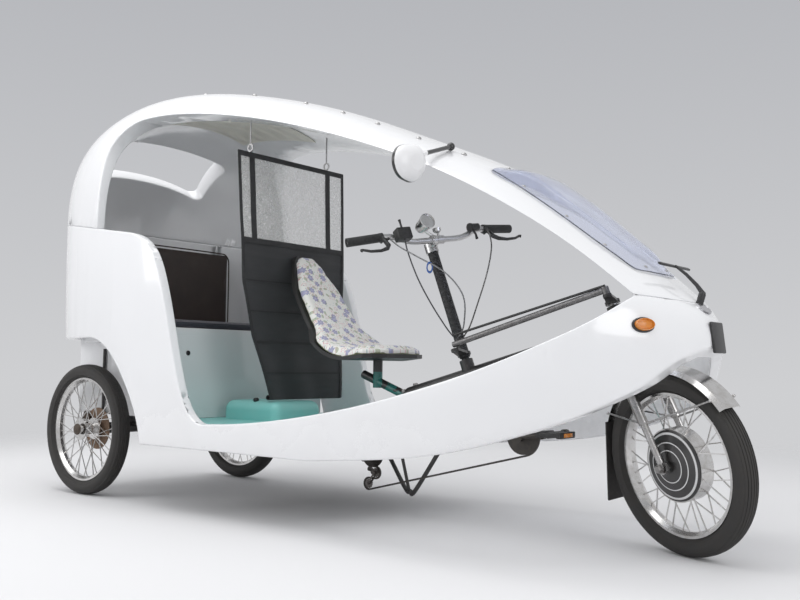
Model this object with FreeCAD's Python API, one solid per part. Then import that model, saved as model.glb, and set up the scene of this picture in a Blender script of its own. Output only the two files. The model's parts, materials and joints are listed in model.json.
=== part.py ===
import FreeCAD, Part
import math
import os

# Pedal rickshaw with an egg-shaped two-piece cabin, in millimetres. X points forward, Y to the
# left and Z up. It is drawn from the rear axle's plane, with the ground at Z = 0, and is moved at
# the end so that its origin is the bottom centre of its whole box.

# Wheels and stance
WHEELBASE = 2441.0
TRACK = 860.0
TYRE_RADIUS = 273.0
TYRE_HALF_WIDTH = 37.0
RIM_RADIUS = 216.0
RIM_HALF_WIDTH = 20.0
RIM_DEPTH = 17.0
RIM_FLANGE_DEPTH = 7.0
SPOKE_RADIUS = 1.6
SPOKE_PAIRS = 18
RUNNING_CLEARANCE = 0.05
SEAT_GAP = 0.3

# Steering
STEER_LEAN = 21.0
REST_STEER = -24.5
FORK_RAKE_OFFSET = 34.0
FORK_LEG_SPACING = 132.0
FORK_CROWN_HEIGHT = 330.0
HEAD_TUBE_START = 385.0
HEAD_TUBE_LENGTH = 136.0
HEAD_TUBE_RADIUS = 24.0
STEERER_RADIUS = 14.0
GUARD_RADIUS = 290.0
GUARD_HALF_WIDTH = 41.0
ARM_LENGTH = 106.0
ARM_REST_ANGLE = -70.7
COLUMN_BASE_X = 1652.0
COLUMN_BASE_Z = 585.0
COLUMN_RADIUS = 19.0
BAR_HEIGHT = 435.0
BAR_REACH = 52.0
BAR_LENGTH = 680.0
BAR_RADIUS = 11.0
BAR_SLEEVE_HALF = 25.0
LINK_LIFT = 20.0
ARM_HALF_THICKNESS = 5.0

# Cabin
BODY_HALF_WIDTH = 550.0
BODY_TAIL_X = -460.0
TAIL_CENTRE_X = 230.0
TAIL_BELT_Z = 1150.0
TAIL_CROWN_RISE = 575.0
TAIL_KEEL_DROP = 1550.0
NOSE_CENTRE_X = 1940.0
NOSE_TIP_X = 2552.0
SIDE_WALL = 40.0
ROOF_WALL = 100.0
SEAM_AXLE_Z = 1130.0
SEAM_SLOPE = -0.153
UPPER_FULLNESS = 0.70
LOWER_FULLNESS = 0.85
TAIL_SKIRT_Z = 656.0
SILL_BOTTOM_Z = 243.0

# Passenger space
FLOOR_TOP_Z = 332.0
FLOOR_THICKNESS = 12.0
BENCH_FRONT_X = 500.0
BENCH_TOP_Z = 698.0
BENCH_WALL = 12.0
CUSHION_THICKNESS = 34.0
CURTAIN_X = 820.0
CURTAIN_TOP_Z = 1380.0
CURTAIN_SPLIT_Z = 1040.0
CURTAIN_BOTTOM_Z = 412.0

# Chassis and drive
AXLE_TUBE_RADIUS = 24.0
STUB_RADIUS = 10.0
RAIL_RADIUS = 19.0
RAIL_SPACING = 420.0
RAIL_Z = FLOOR_TOP_Z - FLOOR_THICKNESS - RAIL_RADIUS - SEAT_GAP
BEAM_RADIUS = 25.0
BEAM_FOOT_X = 1310.0
CROSS_TUBE_INSET = 40.0
CRANK_X = 1920.0
CRANK_Z = 325.0
CRANK_LENGTH = 170.0
CRANK_ANGLE = 7.0
CRANK_ARM_Y = 74.0
CHAIN_Y = -52.0
CHAINRING_RADIUS = 62.0
CHAIN_HALF_HEIGHT = 3.2
CHAIN_HALF_WIDTH = 3.0
LAY_SHAFT_X = 1270.0
LAY_SHAFT_Z = 222.0
COG_COUNT = 6
COG_SPACING = 6.0
CHAINED_COG = 2
SMALLEST_COG_RADIUS = 26.0
COG_STEP = 3.5
PULLEY_RADIUS = 18.0
PULLEYS = ((1290.0, 160.0), (1258.0, 118.0))

X_AXIS = FreeCAD.Vector(1, 0, 0)
Y_AXIS = FreeCAD.Vector(0, 1, 0)
Z_AXIS = FreeCAD.Vector(0, 0, 1)

pieces = {}


def point(x, y, z):
    return FreeCAD.Vector(x, y, z)


def keep(name, shape):
    """Store a finished sub-part under its node name."""
    pieces[name] = shape


def rod(start, end, radius):
    """Round bar between two points."""
    along = end - start
    return Part.makeCylinder(radius, along.Length, start, along)


def square_bar(start, end, half):
    """Bar of square section between two points, for thin spokes."""
    along = end - start
    across = along.cross(Y_AXIS).normalize() * half
    beside = along.cross(across).normalize() * half
    corners = [start + across + beside, start - across + beside, start - across - beside, start + across - beside]
    return Part.Face(Part.makePolygon(corners + corners[:1])).extrude(along)


def pipe(start, end, outer, inner):
    """Round tube between two points."""
    return rod(start, end, outer).cut(rod(start, end, inner))


def fuse(shapes):
    """Join solids into one and drop the seams between them."""
    shapes = list(shapes)
    if len(shapes) == 1:
        return shapes[0]
    return shapes[0].multiFuse(shapes[1:]).removeSplitter()


def mirrored(shape):
    """The same piece on the other side of the vehicle."""
    return shape.mirror(point(0, 0, 0), Y_AXIS)


def block(low, high):
    """Box between two opposite corners."""
    size = high - low
    return Part.makeBox(size.x, size.y, size.z, low)


def side_prism(edges, half_width):
    """Solid whose outline in the XZ plane runs through the whole width."""
    face = Part.Face(Part.Wire(edges))
    face.translate(point(0, -half_width, 0))
    return face.extrude(point(0, 2 * half_width, 0))


def spline_through(profile):
    """Smooth edge through XZ points."""
    curve = Part.BSplineCurve()
    curve.interpolate([point(x, 0, z) for x, z in profile])
    return curve.toShape()


def line_through(profile):
    """Straight edges through XZ points."""
    ends = [point(x, 0, z) for x, z in profile]
    return [Part.makeLine(a, b) for a, b in zip(ends[:-1], ends[1:])]


def swept_tube(route, radius, bend_share=0.45):
    """Tube along straight runs joined by tangent arcs."""
    edges = []
    last = route[0]
    for before, corner, after in zip(route[:-2], route[1:-1], route[2:]):
        back = before - corner
        ahead = after - corner
        shorter = min(back.Length, ahead.Length)
        back.normalize()
        ahead.normalize()
        cut = bend_share * shorter
        begin = corner + back * cut
        finish = corner + ahead * cut
        half_open = back.getAngle(ahead) / 2
        bisector = (back + ahead).normalize()
        bend_radius = cut * math.tan(half_open)
        middle = corner + bisector * (bend_radius / math.sin(half_open) - bend_radius)
        edges.append(Part.makeLine(last, begin))
        edges.append(Part.Arc(begin, middle, finish).toShape())
        last = finish
    edges.append(Part.makeLine(last, route[-1]))
    path = Part.Wire(edges)
    start_direction = route[1] - route[0]
    profile = Part.Wire(Part.makeCircle(radius, route[0], start_direction))
    return path.makePipeShell([profile], True, True)


# Cabin egg

def seam_height(x):
    """Height of the sloping joint between the two cabin halves."""
    return SEAM_AXLE_Z + SEAM_SLOPE * x


TAIL_ANGLES = (84.0, 70.0, 52.0, 30.0)
MIDDLE_STATIONS = (
    (TAIL_CENTRE_X, 1727.0, 1100.0, -400.0),
    (700.0, 1668.0, 1000.0, -400.0),
    (1200.0, 1513.0, 900.0, -400.0),
    (1600.0, 1345.0, 800.0, -400.0),
)
# Shares of the nose length and of the body's half width, then crown, belt and keel heights.
NOSE_STATIONS = (
    (0.0, 1.0, 1180.0, 720.0, -200.0),
    (0.493, 0.855, 950.0, 650.0, 50.0),
    (0.779, 0.564, 810.0, 620.0, 250.0),
    (0.899, 0.345, 752.0, 610.0, 360.0),
    (0.967, 0.182, 705.0, 600.0, 450.0),
    (1.0, 0.065, 655.0, 600.0, 500.0),
)


def egg_stations(side_inset, roof_inset):
    """Rows of x, half width, crown, belt and keel heights, drawn in by the given insets."""
    rows = []
    tail_length = TAIL_CENTRE_X - BODY_TAIL_X - side_inset
    for degrees in TAIL_ANGLES:
        share = math.cos(math.radians(degrees))
        x = TAIL_CENTRE_X - tail_length * math.sin(math.radians(degrees))
        half_width = (BODY_HALF_WIDTH - side_inset) * share
        crown = TAIL_BELT_Z + (TAIL_CROWN_RISE - roof_inset) * share ** 0.9
        keel = TAIL_BELT_Z - TAIL_KEEL_DROP * share ** 1.5
        rows.append((x, half_width, crown, TAIL_BELT_Z, keel))
    for x, crown, belt, keel in MIDDLE_STATIONS:
        rows.append((x, BODY_HALF_WIDTH - side_inset, crown - roof_inset, belt, keel))
    nose_length = NOSE_TIP_X - NOSE_CENTRE_X - side_inset
    for reach, share, crown, belt, keel in NOSE_STATIONS:
        half_width = (BODY_HALF_WIDTH - side_inset) * share
        rows.append((NOSE_CENTRE_X + nose_length * reach, half_width,
                     crown - side_inset * math.sqrt(share), belt, keel))
    return rows


def egg_section(x, half_width, crown, belt, keel):
    """Closed cross-section of four curved quarters."""

    def quarter(side, tip, fullness):
        rise = tip - belt
        poles = [
            point(x, side * half_width, belt),
            point(x, side * half_width, belt + fullness * rise),
            point(x, side * fullness * half_width, tip),
            point(x, 0, tip),
        ]
        curve = Part.BezierCurve()
        curve.setPoles(poles)
        return curve.toShape()

    return Part.Wire([
        quarter(1, crown, UPPER_FULLNESS),
        quarter(-1, crown, UPPER_FULLNESS),
        quarter(-1, keel, LOWER_FULLNESS),
        quarter(1, keel, LOWER_FULLNESS),
    ])


def egg(side_inset=0.0, roof_inset=0.0):
    wires = [egg_section(*row) for row in egg_stations(side_inset, roof_inset)]
    return Part.makeLoft(wires, True, False)


def side_opening():
    """The big opening that runs through both sides, from the rear arch to the nose."""
    arch_x = 200.0
    nose_corner = (2410.0, 760.0)
    wing_end_x = 440.0
    outline = line_through([(wing_end_x, seam_height(wing_end_x)), (arch_x, seam_height(arch_x)),
                            (arch_x, 1370.0)])
    outline.append(Part.Arc(point(arch_x, 0, 1370.0), point(238.0, 0, 1492.0),
                            point(345.0, 0, 1548.0)).toShape())
    outline.append(spline_through([(345.0, 1548.0), (480.0, 1549.0), (663.0, 1529.0), (991.0, 1461.0),
                                   (1312.0, 1366.0), (1620.0, 1252.0), (2032.0, 1050.0),
                                   (2285.0, 871.0), nose_corner]))
    outline.append(spline_through([nose_corner, (2368.0, 706.0), (2253.0, 628.0), (2106.0, 561.0),
                                   (1858.0, 483.0), (1526.0, 409.0), (1248.0, 366.0), (1053.0, 346.0),
                                   (900.0, 338.0)]))
    outline.append(spline_through([(900.0, 338.0), (845.0, 342.0), (790.0, 385.0), (746.0, 478.0),
                                   (680.0, 718.0), (627.0, 886.0), (561.0, 1000.0), (505.0, 1040.0),
                                   (wing_end_x, seam_height(wing_end_x))]))
    return side_prism(outline, BODY_HALF_WIDTH + 100)


def underside_cut():
    """Everything below the cabin's lower edge: tail skirt, wheel arch, sill and nose."""
    depth = -700.0
    arch = spline_through([(150.0, TAIL_SKIRT_Z), (270.0, 625.0), (356.0, 557.0), (422.0, 472.0),
                           (480.0, 362.0), (506.0, SILL_BOTTOM_Z)])
    rise = spline_through([(1400.0, SILL_BOTTOM_Z), (1560.0, 256.0), (1927.0, 299.0), (2179.0, 365.0),
                           (2303.0, 414.0), (2400.0, 472.0), (2452.0, 516.0), (2500.0, 576.0),
                           (2530.0, 600.0), (2600.0, 650.0)])
    outline = [arch] + line_through([(506.0, SILL_BOTTOM_Z), (1400.0, SILL_BOTTOM_Z)]) + [rise]
    outline += line_through([(2600.0, 650.0), (2600.0, depth), (-700.0, depth), (-700.0, TAIL_SKIRT_Z),
                             (150.0, TAIL_SKIRT_Z)])
    return side_prism(outline, BODY_HALF_WIDTH + 100)


def above_seam():
    """Half space above the sloping joint, as a big slab."""
    rear = -900.0
    front = 3000.0
    top = 2500.0
    outline = line_through([(rear, seam_height(rear)), (front, seam_height(front)), (front, top),
                            (rear, top), (rear, seam_height(rear))])
    return side_prism(outline, BODY_HALF_WIDTH + 200)


SCREEN_CORNERS = ((1890.0, 235.0), (2375.0, 150.0))
SCREEN_CORNER_RADIUS = 45.0


def screen_prism(inset):
    """Vertical prism over the windscreen's outline."""
    (top_x, top_y), (nose_x, nose_y) = SCREEN_CORNERS
    outline = Part.makePolygon([
        point(top_x + inset, -top_y + inset, 600),
        point(nose_x - inset, -nose_y + inset, 600),
        point(nose_x - inset, nose_y - inset, 600),
        point(top_x + inset, top_y - inset, 600),
        point(top_x + inset, -top_y + inset, 600),
    ])
    solid = Part.Face(outline).extrude(point(0, 0, 900))
    upright = [edge for edge in solid.Edges if abs(edge.BoundBox.ZLength - 900) < 1]
    return solid.makeFillet(SCREEN_CORNER_RADIUS - inset, upright)


REAR_WINDOW_WIDTH = 640.0
REAR_WINDOW_HEIGHT = 250.0


def rear_window_prism():
    """Slanted prism through the tail for the rear window."""
    half = REAR_WINDOW_WIDTH / 2
    solid = Part.makeBox(500, REAR_WINDOW_WIDTH, REAR_WINDOW_HEIGHT,
                         point(-500, -half, -REAR_WINDOW_HEIGHT / 2))
    along = [edge for edge in solid.Edges if abs(edge.BoundBox.XLength - 500) < 1]
    solid = solid.makeFillet(40, along)
    solid.rotate(point(0, 0, 0), Y_AXIS, 45)
    solid.translate(point(-60.0, 0, 1385.0))
    return solid


def make_cabin():
    shell = egg().cut(egg(SIDE_WALL, ROOF_WALL))
    shell = shell.cut(side_opening())
    top = above_seam()
    upper = shell.common(top)
    upper = upper.cut(screen_prism(0)).cut(rear_window_prism())
    lower = shell.cut(top).cut(underside_cut())
    keep("upper_shell", upper)
    keep("lower_shell", lower)
    glass = egg(8.0, 8.0).cut(egg(12.0, 12.0)).common(screen_prism(SEAT_GAP))
    keep("windscreen", glass)


# Passenger space

def make_passenger_space():
    floor_front = BEAM_FOOT_X - 40.0
    inner_half = BODY_HALF_WIDTH - SIDE_WALL
    half = inner_half - 30
    keep("floor_panel", block(point(BENCH_FRONT_X, -half, FLOOR_TOP_Z - FLOOR_THICKNESS),
                              point(floor_front, half, FLOOR_TOP_Z)))

    bench_rear = -200.0
    shelf_rear = -90.0
    well_half = 348.0
    wide_half = inner_half - 22
    shelf_z = 640.0
    bottom = FLOOR_TOP_Z + SEAT_GAP
    trunk = block(point(bench_rear, -well_half, bottom), point(BENCH_FRONT_X, well_half, BENCH_TOP_Z))
    shelf = block(point(shelf_rear, -wide_half + 90, shelf_z), point(BENCH_FRONT_X, wide_half - 90, BENCH_TOP_Z))
    wide = block(point(200, -wide_half, shelf_z + 20), point(BENCH_FRONT_X, wide_half, BENCH_TOP_Z))
    front = block(point(BENCH_FRONT_X - BENCH_WALL, -wide_half + 14, bottom),
                  point(BENCH_FRONT_X, wide_half - 14, BENCH_TOP_Z))
    hollow = block(point(bench_rear + BENCH_WALL, -well_half + BENCH_WALL, bottom - 10),
                   point(BENCH_FRONT_X - BENCH_WALL, well_half - BENCH_WALL, BENCH_TOP_Z - BENCH_WALL))
    keep("bench_base", fuse([trunk, shelf, wide, front]).cut(hollow))

    cushion_half = inner_half - 72
    cushion = block(point(-60, -cushion_half, BENCH_TOP_Z + SEAT_GAP),
                    point(BENCH_FRONT_X + 12, cushion_half, BENCH_TOP_Z + SEAT_GAP + CUSHION_THICKNESS))
    keep("bench_cushion", cushion.makeFillet(14, cushion.Edges))

    pad_bottom = BENCH_TOP_Z + SEAT_GAP
    pad_half = inner_half - 110
    pad = block(point(-115, -pad_half, pad_bottom), point(-65, pad_half, pad_bottom + 410))
    upper = [edge for edge in pad.Edges if edge.BoundBox.XLength > 40 and edge.BoundBox.ZMin > pad_bottom + 100]
    keep("bench_back_pad", pad.makeFillet(60, upper))

    hump = block(point(560, -170, FLOOR_TOP_Z + SEAT_GAP), point(880, 90, CURTAIN_BOTTOM_Z - 4))
    rounded = [edge for edge in hump.Edges if edge.BoundBox.ZMax > FLOOR_TOP_Z + 10]
    keep("drive_hump", hump.makeFillet(38, rounded))


def yz_plate(x, thickness, outline):
    """Flat plate from an outline of Y and Z values."""
    ends = [point(x, y, z) for y, z in outline]
    face = Part.Face(Part.makePolygon(ends + ends[:1]))
    return face.extrude(point(thickness, 0, 0))


def make_curtain():
    fabric = yz_plate(CURTAIN_X, 5.0, [(-320, CURTAIN_SPLIT_Z), (-310, 876), (-255, 663),
                                       (-150, CURTAIN_BOTTOM_Z), (258, CURTAIN_BOTTOM_Z),
                                       (262, CURTAIN_SPLIT_Z)])
    keep("curtain_fabric", fabric)
    window = yz_plate(CURTAIN_X + 1.5, 2.0, [(-320, CURTAIN_SPLIT_Z + SEAT_GAP), (262, CURTAIN_SPLIT_Z + SEAT_GAP),
                                             (250, CURTAIN_TOP_Z), (-345, CURTAIN_TOP_Z)])
    keep("curtain_window", window)
    hangers = []
    for y, top in ((-281.0, 1499.0), (148.0, 1520.0)):
        ring = revolve_y([(-2.5, 11), (2.5, 11), (2.5, 16), (-2.5, 16)], point(CURTAIN_X + 2.5, y, CURTAIN_TOP_Z + 16))
        hook = rod(point(CURTAIN_X + 2.5, y, CURTAIN_TOP_Z + 27), point(CURTAIN_X + 2.5, y, top), 3.0)
        hangers.append(fuse([ring, hook]))
    keep("curtain_hangers", Part.Compound(hangers))


# Rider's seat

SEAT_PAN_FRONT_X = 1368.0
SEAT_THICKNESS = 26.0


def make_rider_seat():
    def profile(offset):
        return spline_through([(SEAT_PAN_FRONT_X, 622 - offset), (1310, 620 - offset), (1220, 612 - offset),
                               (1120 - 0.6 * offset, 640 - 0.8 * offset), (1040 - 0.8 * offset, 720 - 0.6 * offset),
                               (942 - 0.9 * offset, 860 - 0.5 * offset), (872 - 0.95 * offset, 1000 - 0.3 * offset)])

    def slab(low, high):
        top = profile(low)
        under = profile(high)
        front = Part.makeLine(top.Vertexes[0].Point, under.Vertexes[0].Point)
        rear = Part.makeLine(top.Vertexes[-1].Point, under.Vertexes[-1].Point)
        face = Part.Face(Part.Wire(Part.__sortEdges__([top, under, front, rear])))
        face.translate(point(0, -190, 0))
        return face.extrude(point(0, 380, 0))

    right = [(-30, 1100), (-30, 1000), (-62, 970), (-112, 860), (-135, 690), (-172, 640), (-172, 400)]
    outline = [point(0, y, z) for y, z in right] + [point(0, -y, z) for y, z in reversed(right)]
    limits = Part.Face(Part.makePolygon(outline + outline[:1])).extrude(point(2000, 0, 0))
    front = [(700, -200), (1290, -200), (1345, -150), (SEAT_PAN_FRONT_X, -90), (SEAT_PAN_FRONT_X, 90), (1345, 150),
             (1290, 200), (700, 200)]
    plan = [point(x, y, 300) for x, y in front]
    limits = limits.common(Part.Face(Part.makePolygon(plan + plan[:1])).extrude(point(0, 0, 1000)))
    pieces["main_frame"] = pieces["main_frame"].cut(slab(0, SEAT_THICKNESS + 14 + SEAT_GAP))
    keep("rider_seat", slab(SEAT_THICKNESS, SEAT_THICKNESS + 14).common(limits))
    keep("rider_seat_cover", slab(0, SEAT_THICKNESS - SEAT_GAP).common(limits))


# Chassis

def steer_axis():
    """Unit vector up the steering axis."""
    lean = math.radians(STEER_LEAN)
    return point(-math.sin(lean), 0, math.cos(lean))


def front_axle_straight():
    return point(WHEELBASE, 0, TYRE_RADIUS)


def fork_base():
    """Foot of the steering axis beside the front axle."""
    lean = math.radians(STEER_LEAN)
    return front_axle_straight() - point(math.cos(lean), 0, math.sin(lean)) * FORK_RAKE_OFFSET


def column_base():
    return point(COLUMN_BASE_X, 0, COLUMN_BASE_Z)


def steered(shape, base):
    """Turn a steered piece from straight ahead to its parked angle."""
    turned = shape.copy()
    turned.rotate(base, steer_axis(), REST_STEER)
    return turned


def head_bottom():
    return fork_base() + steer_axis() * HEAD_TUBE_START


def head_top():
    return head_bottom() + steer_axis() * HEAD_TUBE_LENGTH


def make_frame():
    axle_end = TRACK / 2 - 64
    axle = rod(point(0, -axle_end, TYRE_RADIUS), point(0, axle_end, TYRE_RADIUS), AXLE_TUBE_RADIUS)
    stubs = rod(point(0, -TRACK / 2 - 48, TYRE_RADIUS), point(0, TRACK / 2 + 48, TYRE_RADIUS), STUB_RADIUS)
    rail_y = RAIL_SPACING / 2
    rails = []
    for side in (-1, 1):
        rails.append(rod(point(-20, side * rail_y, RAIL_Z), point(BEAM_FOOT_X + 20, side * rail_y, RAIL_Z),
                         RAIL_RADIUS))
    crosses = []
    cross_half = BODY_HALF_WIDTH - SIDE_WALL - CROSS_TUBE_INSET
    for x in (520.0, 900.0, BEAM_FOOT_X):
        crosses.append(rod(point(x, -cross_half, RAIL_Z), point(x, cross_half, RAIL_Z), RAIL_RADIUS))
    knee = point(1411, 0, 452)
    rear_foot = point(BEAM_FOOT_X, 0, RAIL_Z)
    beam = [rod(rear_foot, knee, BEAM_RADIUS), Part.makeSphere(BEAM_RADIUS, knee)]
    head_middle = (head_bottom() + head_top()) * 0.5
    beam.append(rod(knee, head_middle, BEAM_RADIUS))
    beam.append(rod(head_bottom(), head_top(), HEAD_TUBE_RADIUS))
    post = rod(point(1250, 0, 470), point(1250, 0, 600), 18)
    brace = rod(point(1400, 0, 440), point(1180, 0, 520), 16)
    column_foot = column_base() - steer_axis() * 80
    bearing = rod(column_foot, column_base() - steer_axis() * 10, COLUMN_RADIUS + 5)
    crank_shell = rod(point(CRANK_X, -34, CRANK_Z), point(CRANK_X, 34, CRANK_Z), 20)
    strut_top = knee + (head_middle - knee) * ((CRANK_X - knee.x) / (head_middle.x - knee.x))
    strut = rod(point(CRANK_X, 0, CRANK_Z), strut_top, 16)
    hangers = []
    for y in (-96.0, 46.0):
        hangers.append(rod(point(LAY_SHAFT_X, y - 4, LAY_SHAFT_Z), point(LAY_SHAFT_X, y + 4, LAY_SHAFT_Z), 20))
        hangers.append(side_prism(line_through([
            (LAY_SHAFT_X - 17, LAY_SHAFT_Z), (LAY_SHAFT_X + 17, LAY_SHAFT_Z), (1325, RAIL_Z), (1285, RAIL_Z),
            (LAY_SHAFT_X - 17, LAY_SHAFT_Z)]), 4.0))
        hangers[-1].translate(Y_AXIS * y)
    frame = fuse([axle, stubs] + rails + crosses + beam + [post, brace, bearing, crank_shell, strut] + hangers)
    frame = frame.cut(rod(point(LAY_SHAFT_X, -120, LAY_SHAFT_Z), point(LAY_SHAFT_X, 70, LAY_SHAFT_Z), 8 + SEAT_GAP))
    frame = frame.cut(rod(head_bottom() - steer_axis() * 5, head_top() + steer_axis() * 5,
                          STEERER_RADIUS + RUNNING_CLEARANCE))
    frame = frame.cut(rod(column_base() - steer_axis() * 60, column_base() + steer_axis() * 5,
                          STEERER_RADIUS + RUNNING_CLEARANCE))
    frame = frame.cut(rod(point(CRANK_X, -60, CRANK_Z), point(CRANK_X, 60, CRANK_Z),
                          STUB_RADIUS + RUNNING_CLEARANCE))
    keep("main_frame", frame)


# Wheels

def revolve_y(profile, centre):
    """Ring or disc turned about the wheel's axle from radius and width points."""
    ends = [point(width, 0, radius) for width, radius in profile]
    face = Part.Face(Part.makePolygon(ends + ends[:1]))
    solid = face.revolve(point(0, 0, 0), X_AXIS, 360)
    solid.rotate(point(0, 0, 0), Z_AXIS, 90)
    solid.translate(centre)
    return solid


def tyre(centre):
    inner = RIM_RADIUS - RIM_FLANGE_DEPTH + SEAT_GAP
    lip = RIM_RADIUS + SEAT_GAP
    crown = TYRE_RADIUS
    half = TYRE_HALF_WIDTH
    bead = RIM_HALF_WIDTH - 4 - SEAT_GAP
    right = [(bead, inner), (bead, lip), (half - 6, lip + 11), (half, lip + 25), (half - 6, crown - 14),
             (half - 19, crown - 3)]
    left = [(-width, radius) for width, radius in reversed(right)]
    return revolve_y(right + [(0, crown)] + left, centre)


def rim(centre):
    outer = RIM_RADIUS
    half = RIM_HALF_WIDTH
    bed = outer - RIM_FLANGE_DEPTH
    profile = [(-half, outer), (-half + 3, outer), (-half + 4, bed), (0, bed - 2), (half - 4, bed),
               (half - 3, outer), (half, outer), (half, bed - 1), (7, outer - RIM_DEPTH), (-7, outer - RIM_DEPTH),
               (-half, bed - 1)]
    return revolve_y(profile, centre)


def spokes(centre, flange_radius, flange_half, offset):
    """Crossed spokes from both flanges to the rim."""
    bars = []
    rim_reach = RIM_RADIUS - RIM_DEPTH + 3
    for index in range(SPOKE_PAIRS):
        for side in (-1, 1):
            turn = 360.0 / SPOKE_PAIRS * (index + 0.25 * side)
            lean = offset if index % 2 else -offset
            foot_angle = math.radians(turn + lean)
            rim_angle = math.radians(turn)
            foot = centre + point(flange_radius * math.cos(foot_angle), side * flange_half,
                                  flange_radius * math.sin(foot_angle))
            head = centre + point(rim_reach * math.cos(rim_angle), side * 3, rim_reach * math.sin(rim_angle))
            bars.append(square_bar(foot, head, SPOKE_RADIUS))
    return bars


def rear_wheel(side):
    centre = point(0, side * TRACK / 2, TYRE_RADIUS)
    bore = STUB_RADIUS + RUNNING_CLEARANCE
    hub = revolve_y([(side * width, radius) for width, radius in (
        (-56, bore), (-56, 22), (-34, 22), (-34, 46), (-30, 46), (-28, 24), (28, 24), (30, 46), (34, 46), (34, 16),
        (44, 16), (44, bore))], centre)
    wheel = fuse([hub, rim(centre)] + spokes(centre, 40, 31, 40))
    disc_y = side * (TRACK / 2 - 50)
    disc = rod(point(0, disc_y - 2, TYRE_RADIUS), point(0, disc_y + 2, TYRE_RADIUS), 88)
    disc = disc.cut(rod(point(0, disc_y - 5, TYRE_RADIUS), point(0, disc_y + 5, TYRE_RADIUS), 22 + SEAT_GAP))
    return wheel, disc


def make_rear_wheels():
    for side, name in ((-1, "right"), (1, "left")):
        wheel, disc = rear_wheel(side)
        keep("rear_wheel_" + name, wheel)
        keep("rear_tyre_" + name, tyre(point(0, side * TRACK / 2, TYRE_RADIUS)))
        keep("brake_disc_" + name, disc)


MOTOR_RADIUS = 106.0
MOTOR_HALF_WIDTH = 46.0


def make_front_wheel():
    centre = front_axle_straight()
    motor = revolve_y([(-MOTOR_HALF_WIDTH, 20), (-MOTOR_HALF_WIDTH + 8, 70), (-30, MOTOR_RADIUS - 6),
                       (-26, MOTOR_RADIUS), (26, MOTOR_RADIUS), (30, MOTOR_RADIUS - 6),
                       (MOTOR_HALF_WIDTH - 8, 70), (MOTOR_HALF_WIDTH, 20),
                       (MOTOR_HALF_WIDTH, 7 + RUNNING_CLEARANCE), (-MOTOR_HALF_WIDTH, 7 + RUNNING_CLEARANCE)],
                      centre)
    keep("hub_motor", steered(motor, fork_base()))
    wheel = fuse([rim(centre)] + spokes(centre, MOTOR_RADIUS + 1, 22, 12) + [revolve_y(
        [(-24, MOTOR_RADIUS + SEAT_GAP), (24, MOTOR_RADIUS + SEAT_GAP), (24, MOTOR_RADIUS + 4),
         (-24, MOTOR_RADIUS + 4)], centre)])
    keep("front_rim", steered(wheel, fork_base()))
    keep("front_tyre", steered(tyre(centre), fork_base()))


def make_fork():
    axle = front_axle_straight()
    up = steer_axis()
    half = FORK_LEG_SPACING / 2
    crown = fork_base() + up * FORK_CROWN_HEIGHT
    parts = [rod(axle - Y_AXIS * (half + 12), axle + Y_AXIS * (half + 12), 7)]
    for side in (-1, 1):
        foot = axle + Y_AXIS * (side * half)
        top = crown + Y_AXIS * (side * half)
        clip = foot + (top - foot) * 0.42
        parts.append(rod(foot, clip, 11))
        parts.append(rod(clip, top + up * 14, 15))
        parts.append(rod(axle + Y_AXIS * (side * (half - 6)), axle + Y_AXIS * (side * (half + 6)), 18))
    crown_bar = block(point(-22, -half - 16, -14), point(22, half + 16, 14))
    crown_bar.rotate(point(0, 0, 0), Y_AXIS, -STEER_LEAN)
    crown_bar.translate(crown)
    parts.append(crown_bar)
    outward = (crown - axle).normalize()
    parts.append(rod(axle + outward * (GUARD_RADIUS + SEAT_GAP), crown, 8))
    for side in (-1, 1):
        clip = axle + (crown - axle) * 0.42 + Y_AXIS * (side * half)
        for degrees in (48, 150):
            turn = math.radians(degrees)
            tab = axle + point(math.cos(turn), 0, math.sin(turn)) * (GUARD_RADIUS - 9)
            tab = tab + Y_AXIS * (side * (GUARD_HALF_WIDTH + 5 + SEAT_GAP))
            parts.append(rod(clip, tab, 3))
            parts.append(Part.makeSphere(5, tab))
    arm_z = HEAD_TUBE_START + HEAD_TUBE_LENGTH + 14
    parts.append(rod(crown, fork_base() + up * (arm_z + 12), STEERER_RADIUS))
    keep("fork", steered(fuse(parts), fork_base()))

    arm_centre = fork_base() + up * arm_z
    keep("fork_arm", steering_arm(arm_centre))


def arm_tip(centre):
    """End of a steering arm at the parked angle."""
    angle = math.radians(ARM_REST_ANGLE)
    lean = math.radians(STEER_LEAN)
    forward = point(math.cos(lean), 0, math.sin(lean))
    return centre + (forward * math.cos(angle) + Y_AXIS * math.sin(angle)) * ARM_LENGTH


def steering_arm(centre):
    """Arm plate with an eye round the axis and one at the ball joint, at the parked angle."""
    up = steer_axis()
    tip = arm_tip(centre)
    half = up * ARM_HALF_THICKNESS
    eye = rod(centre - half, centre + half, 24)
    end = rod(tip - half, tip + half, 14)
    across = up.cross(tip - centre).normalize()
    outline = [centre - half + across * 20, centre - half - across * 20, tip - half - across * 12,
               tip - half + across * 12]
    web = Part.Face(Part.makePolygon(outline + outline[:1])).extrude(half * 2)
    arm = fuse([eye, end, web])
    return arm.cut(rod(centre - up * 20, centre + up * 20, STEERER_RADIUS + SEAT_GAP))


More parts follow.
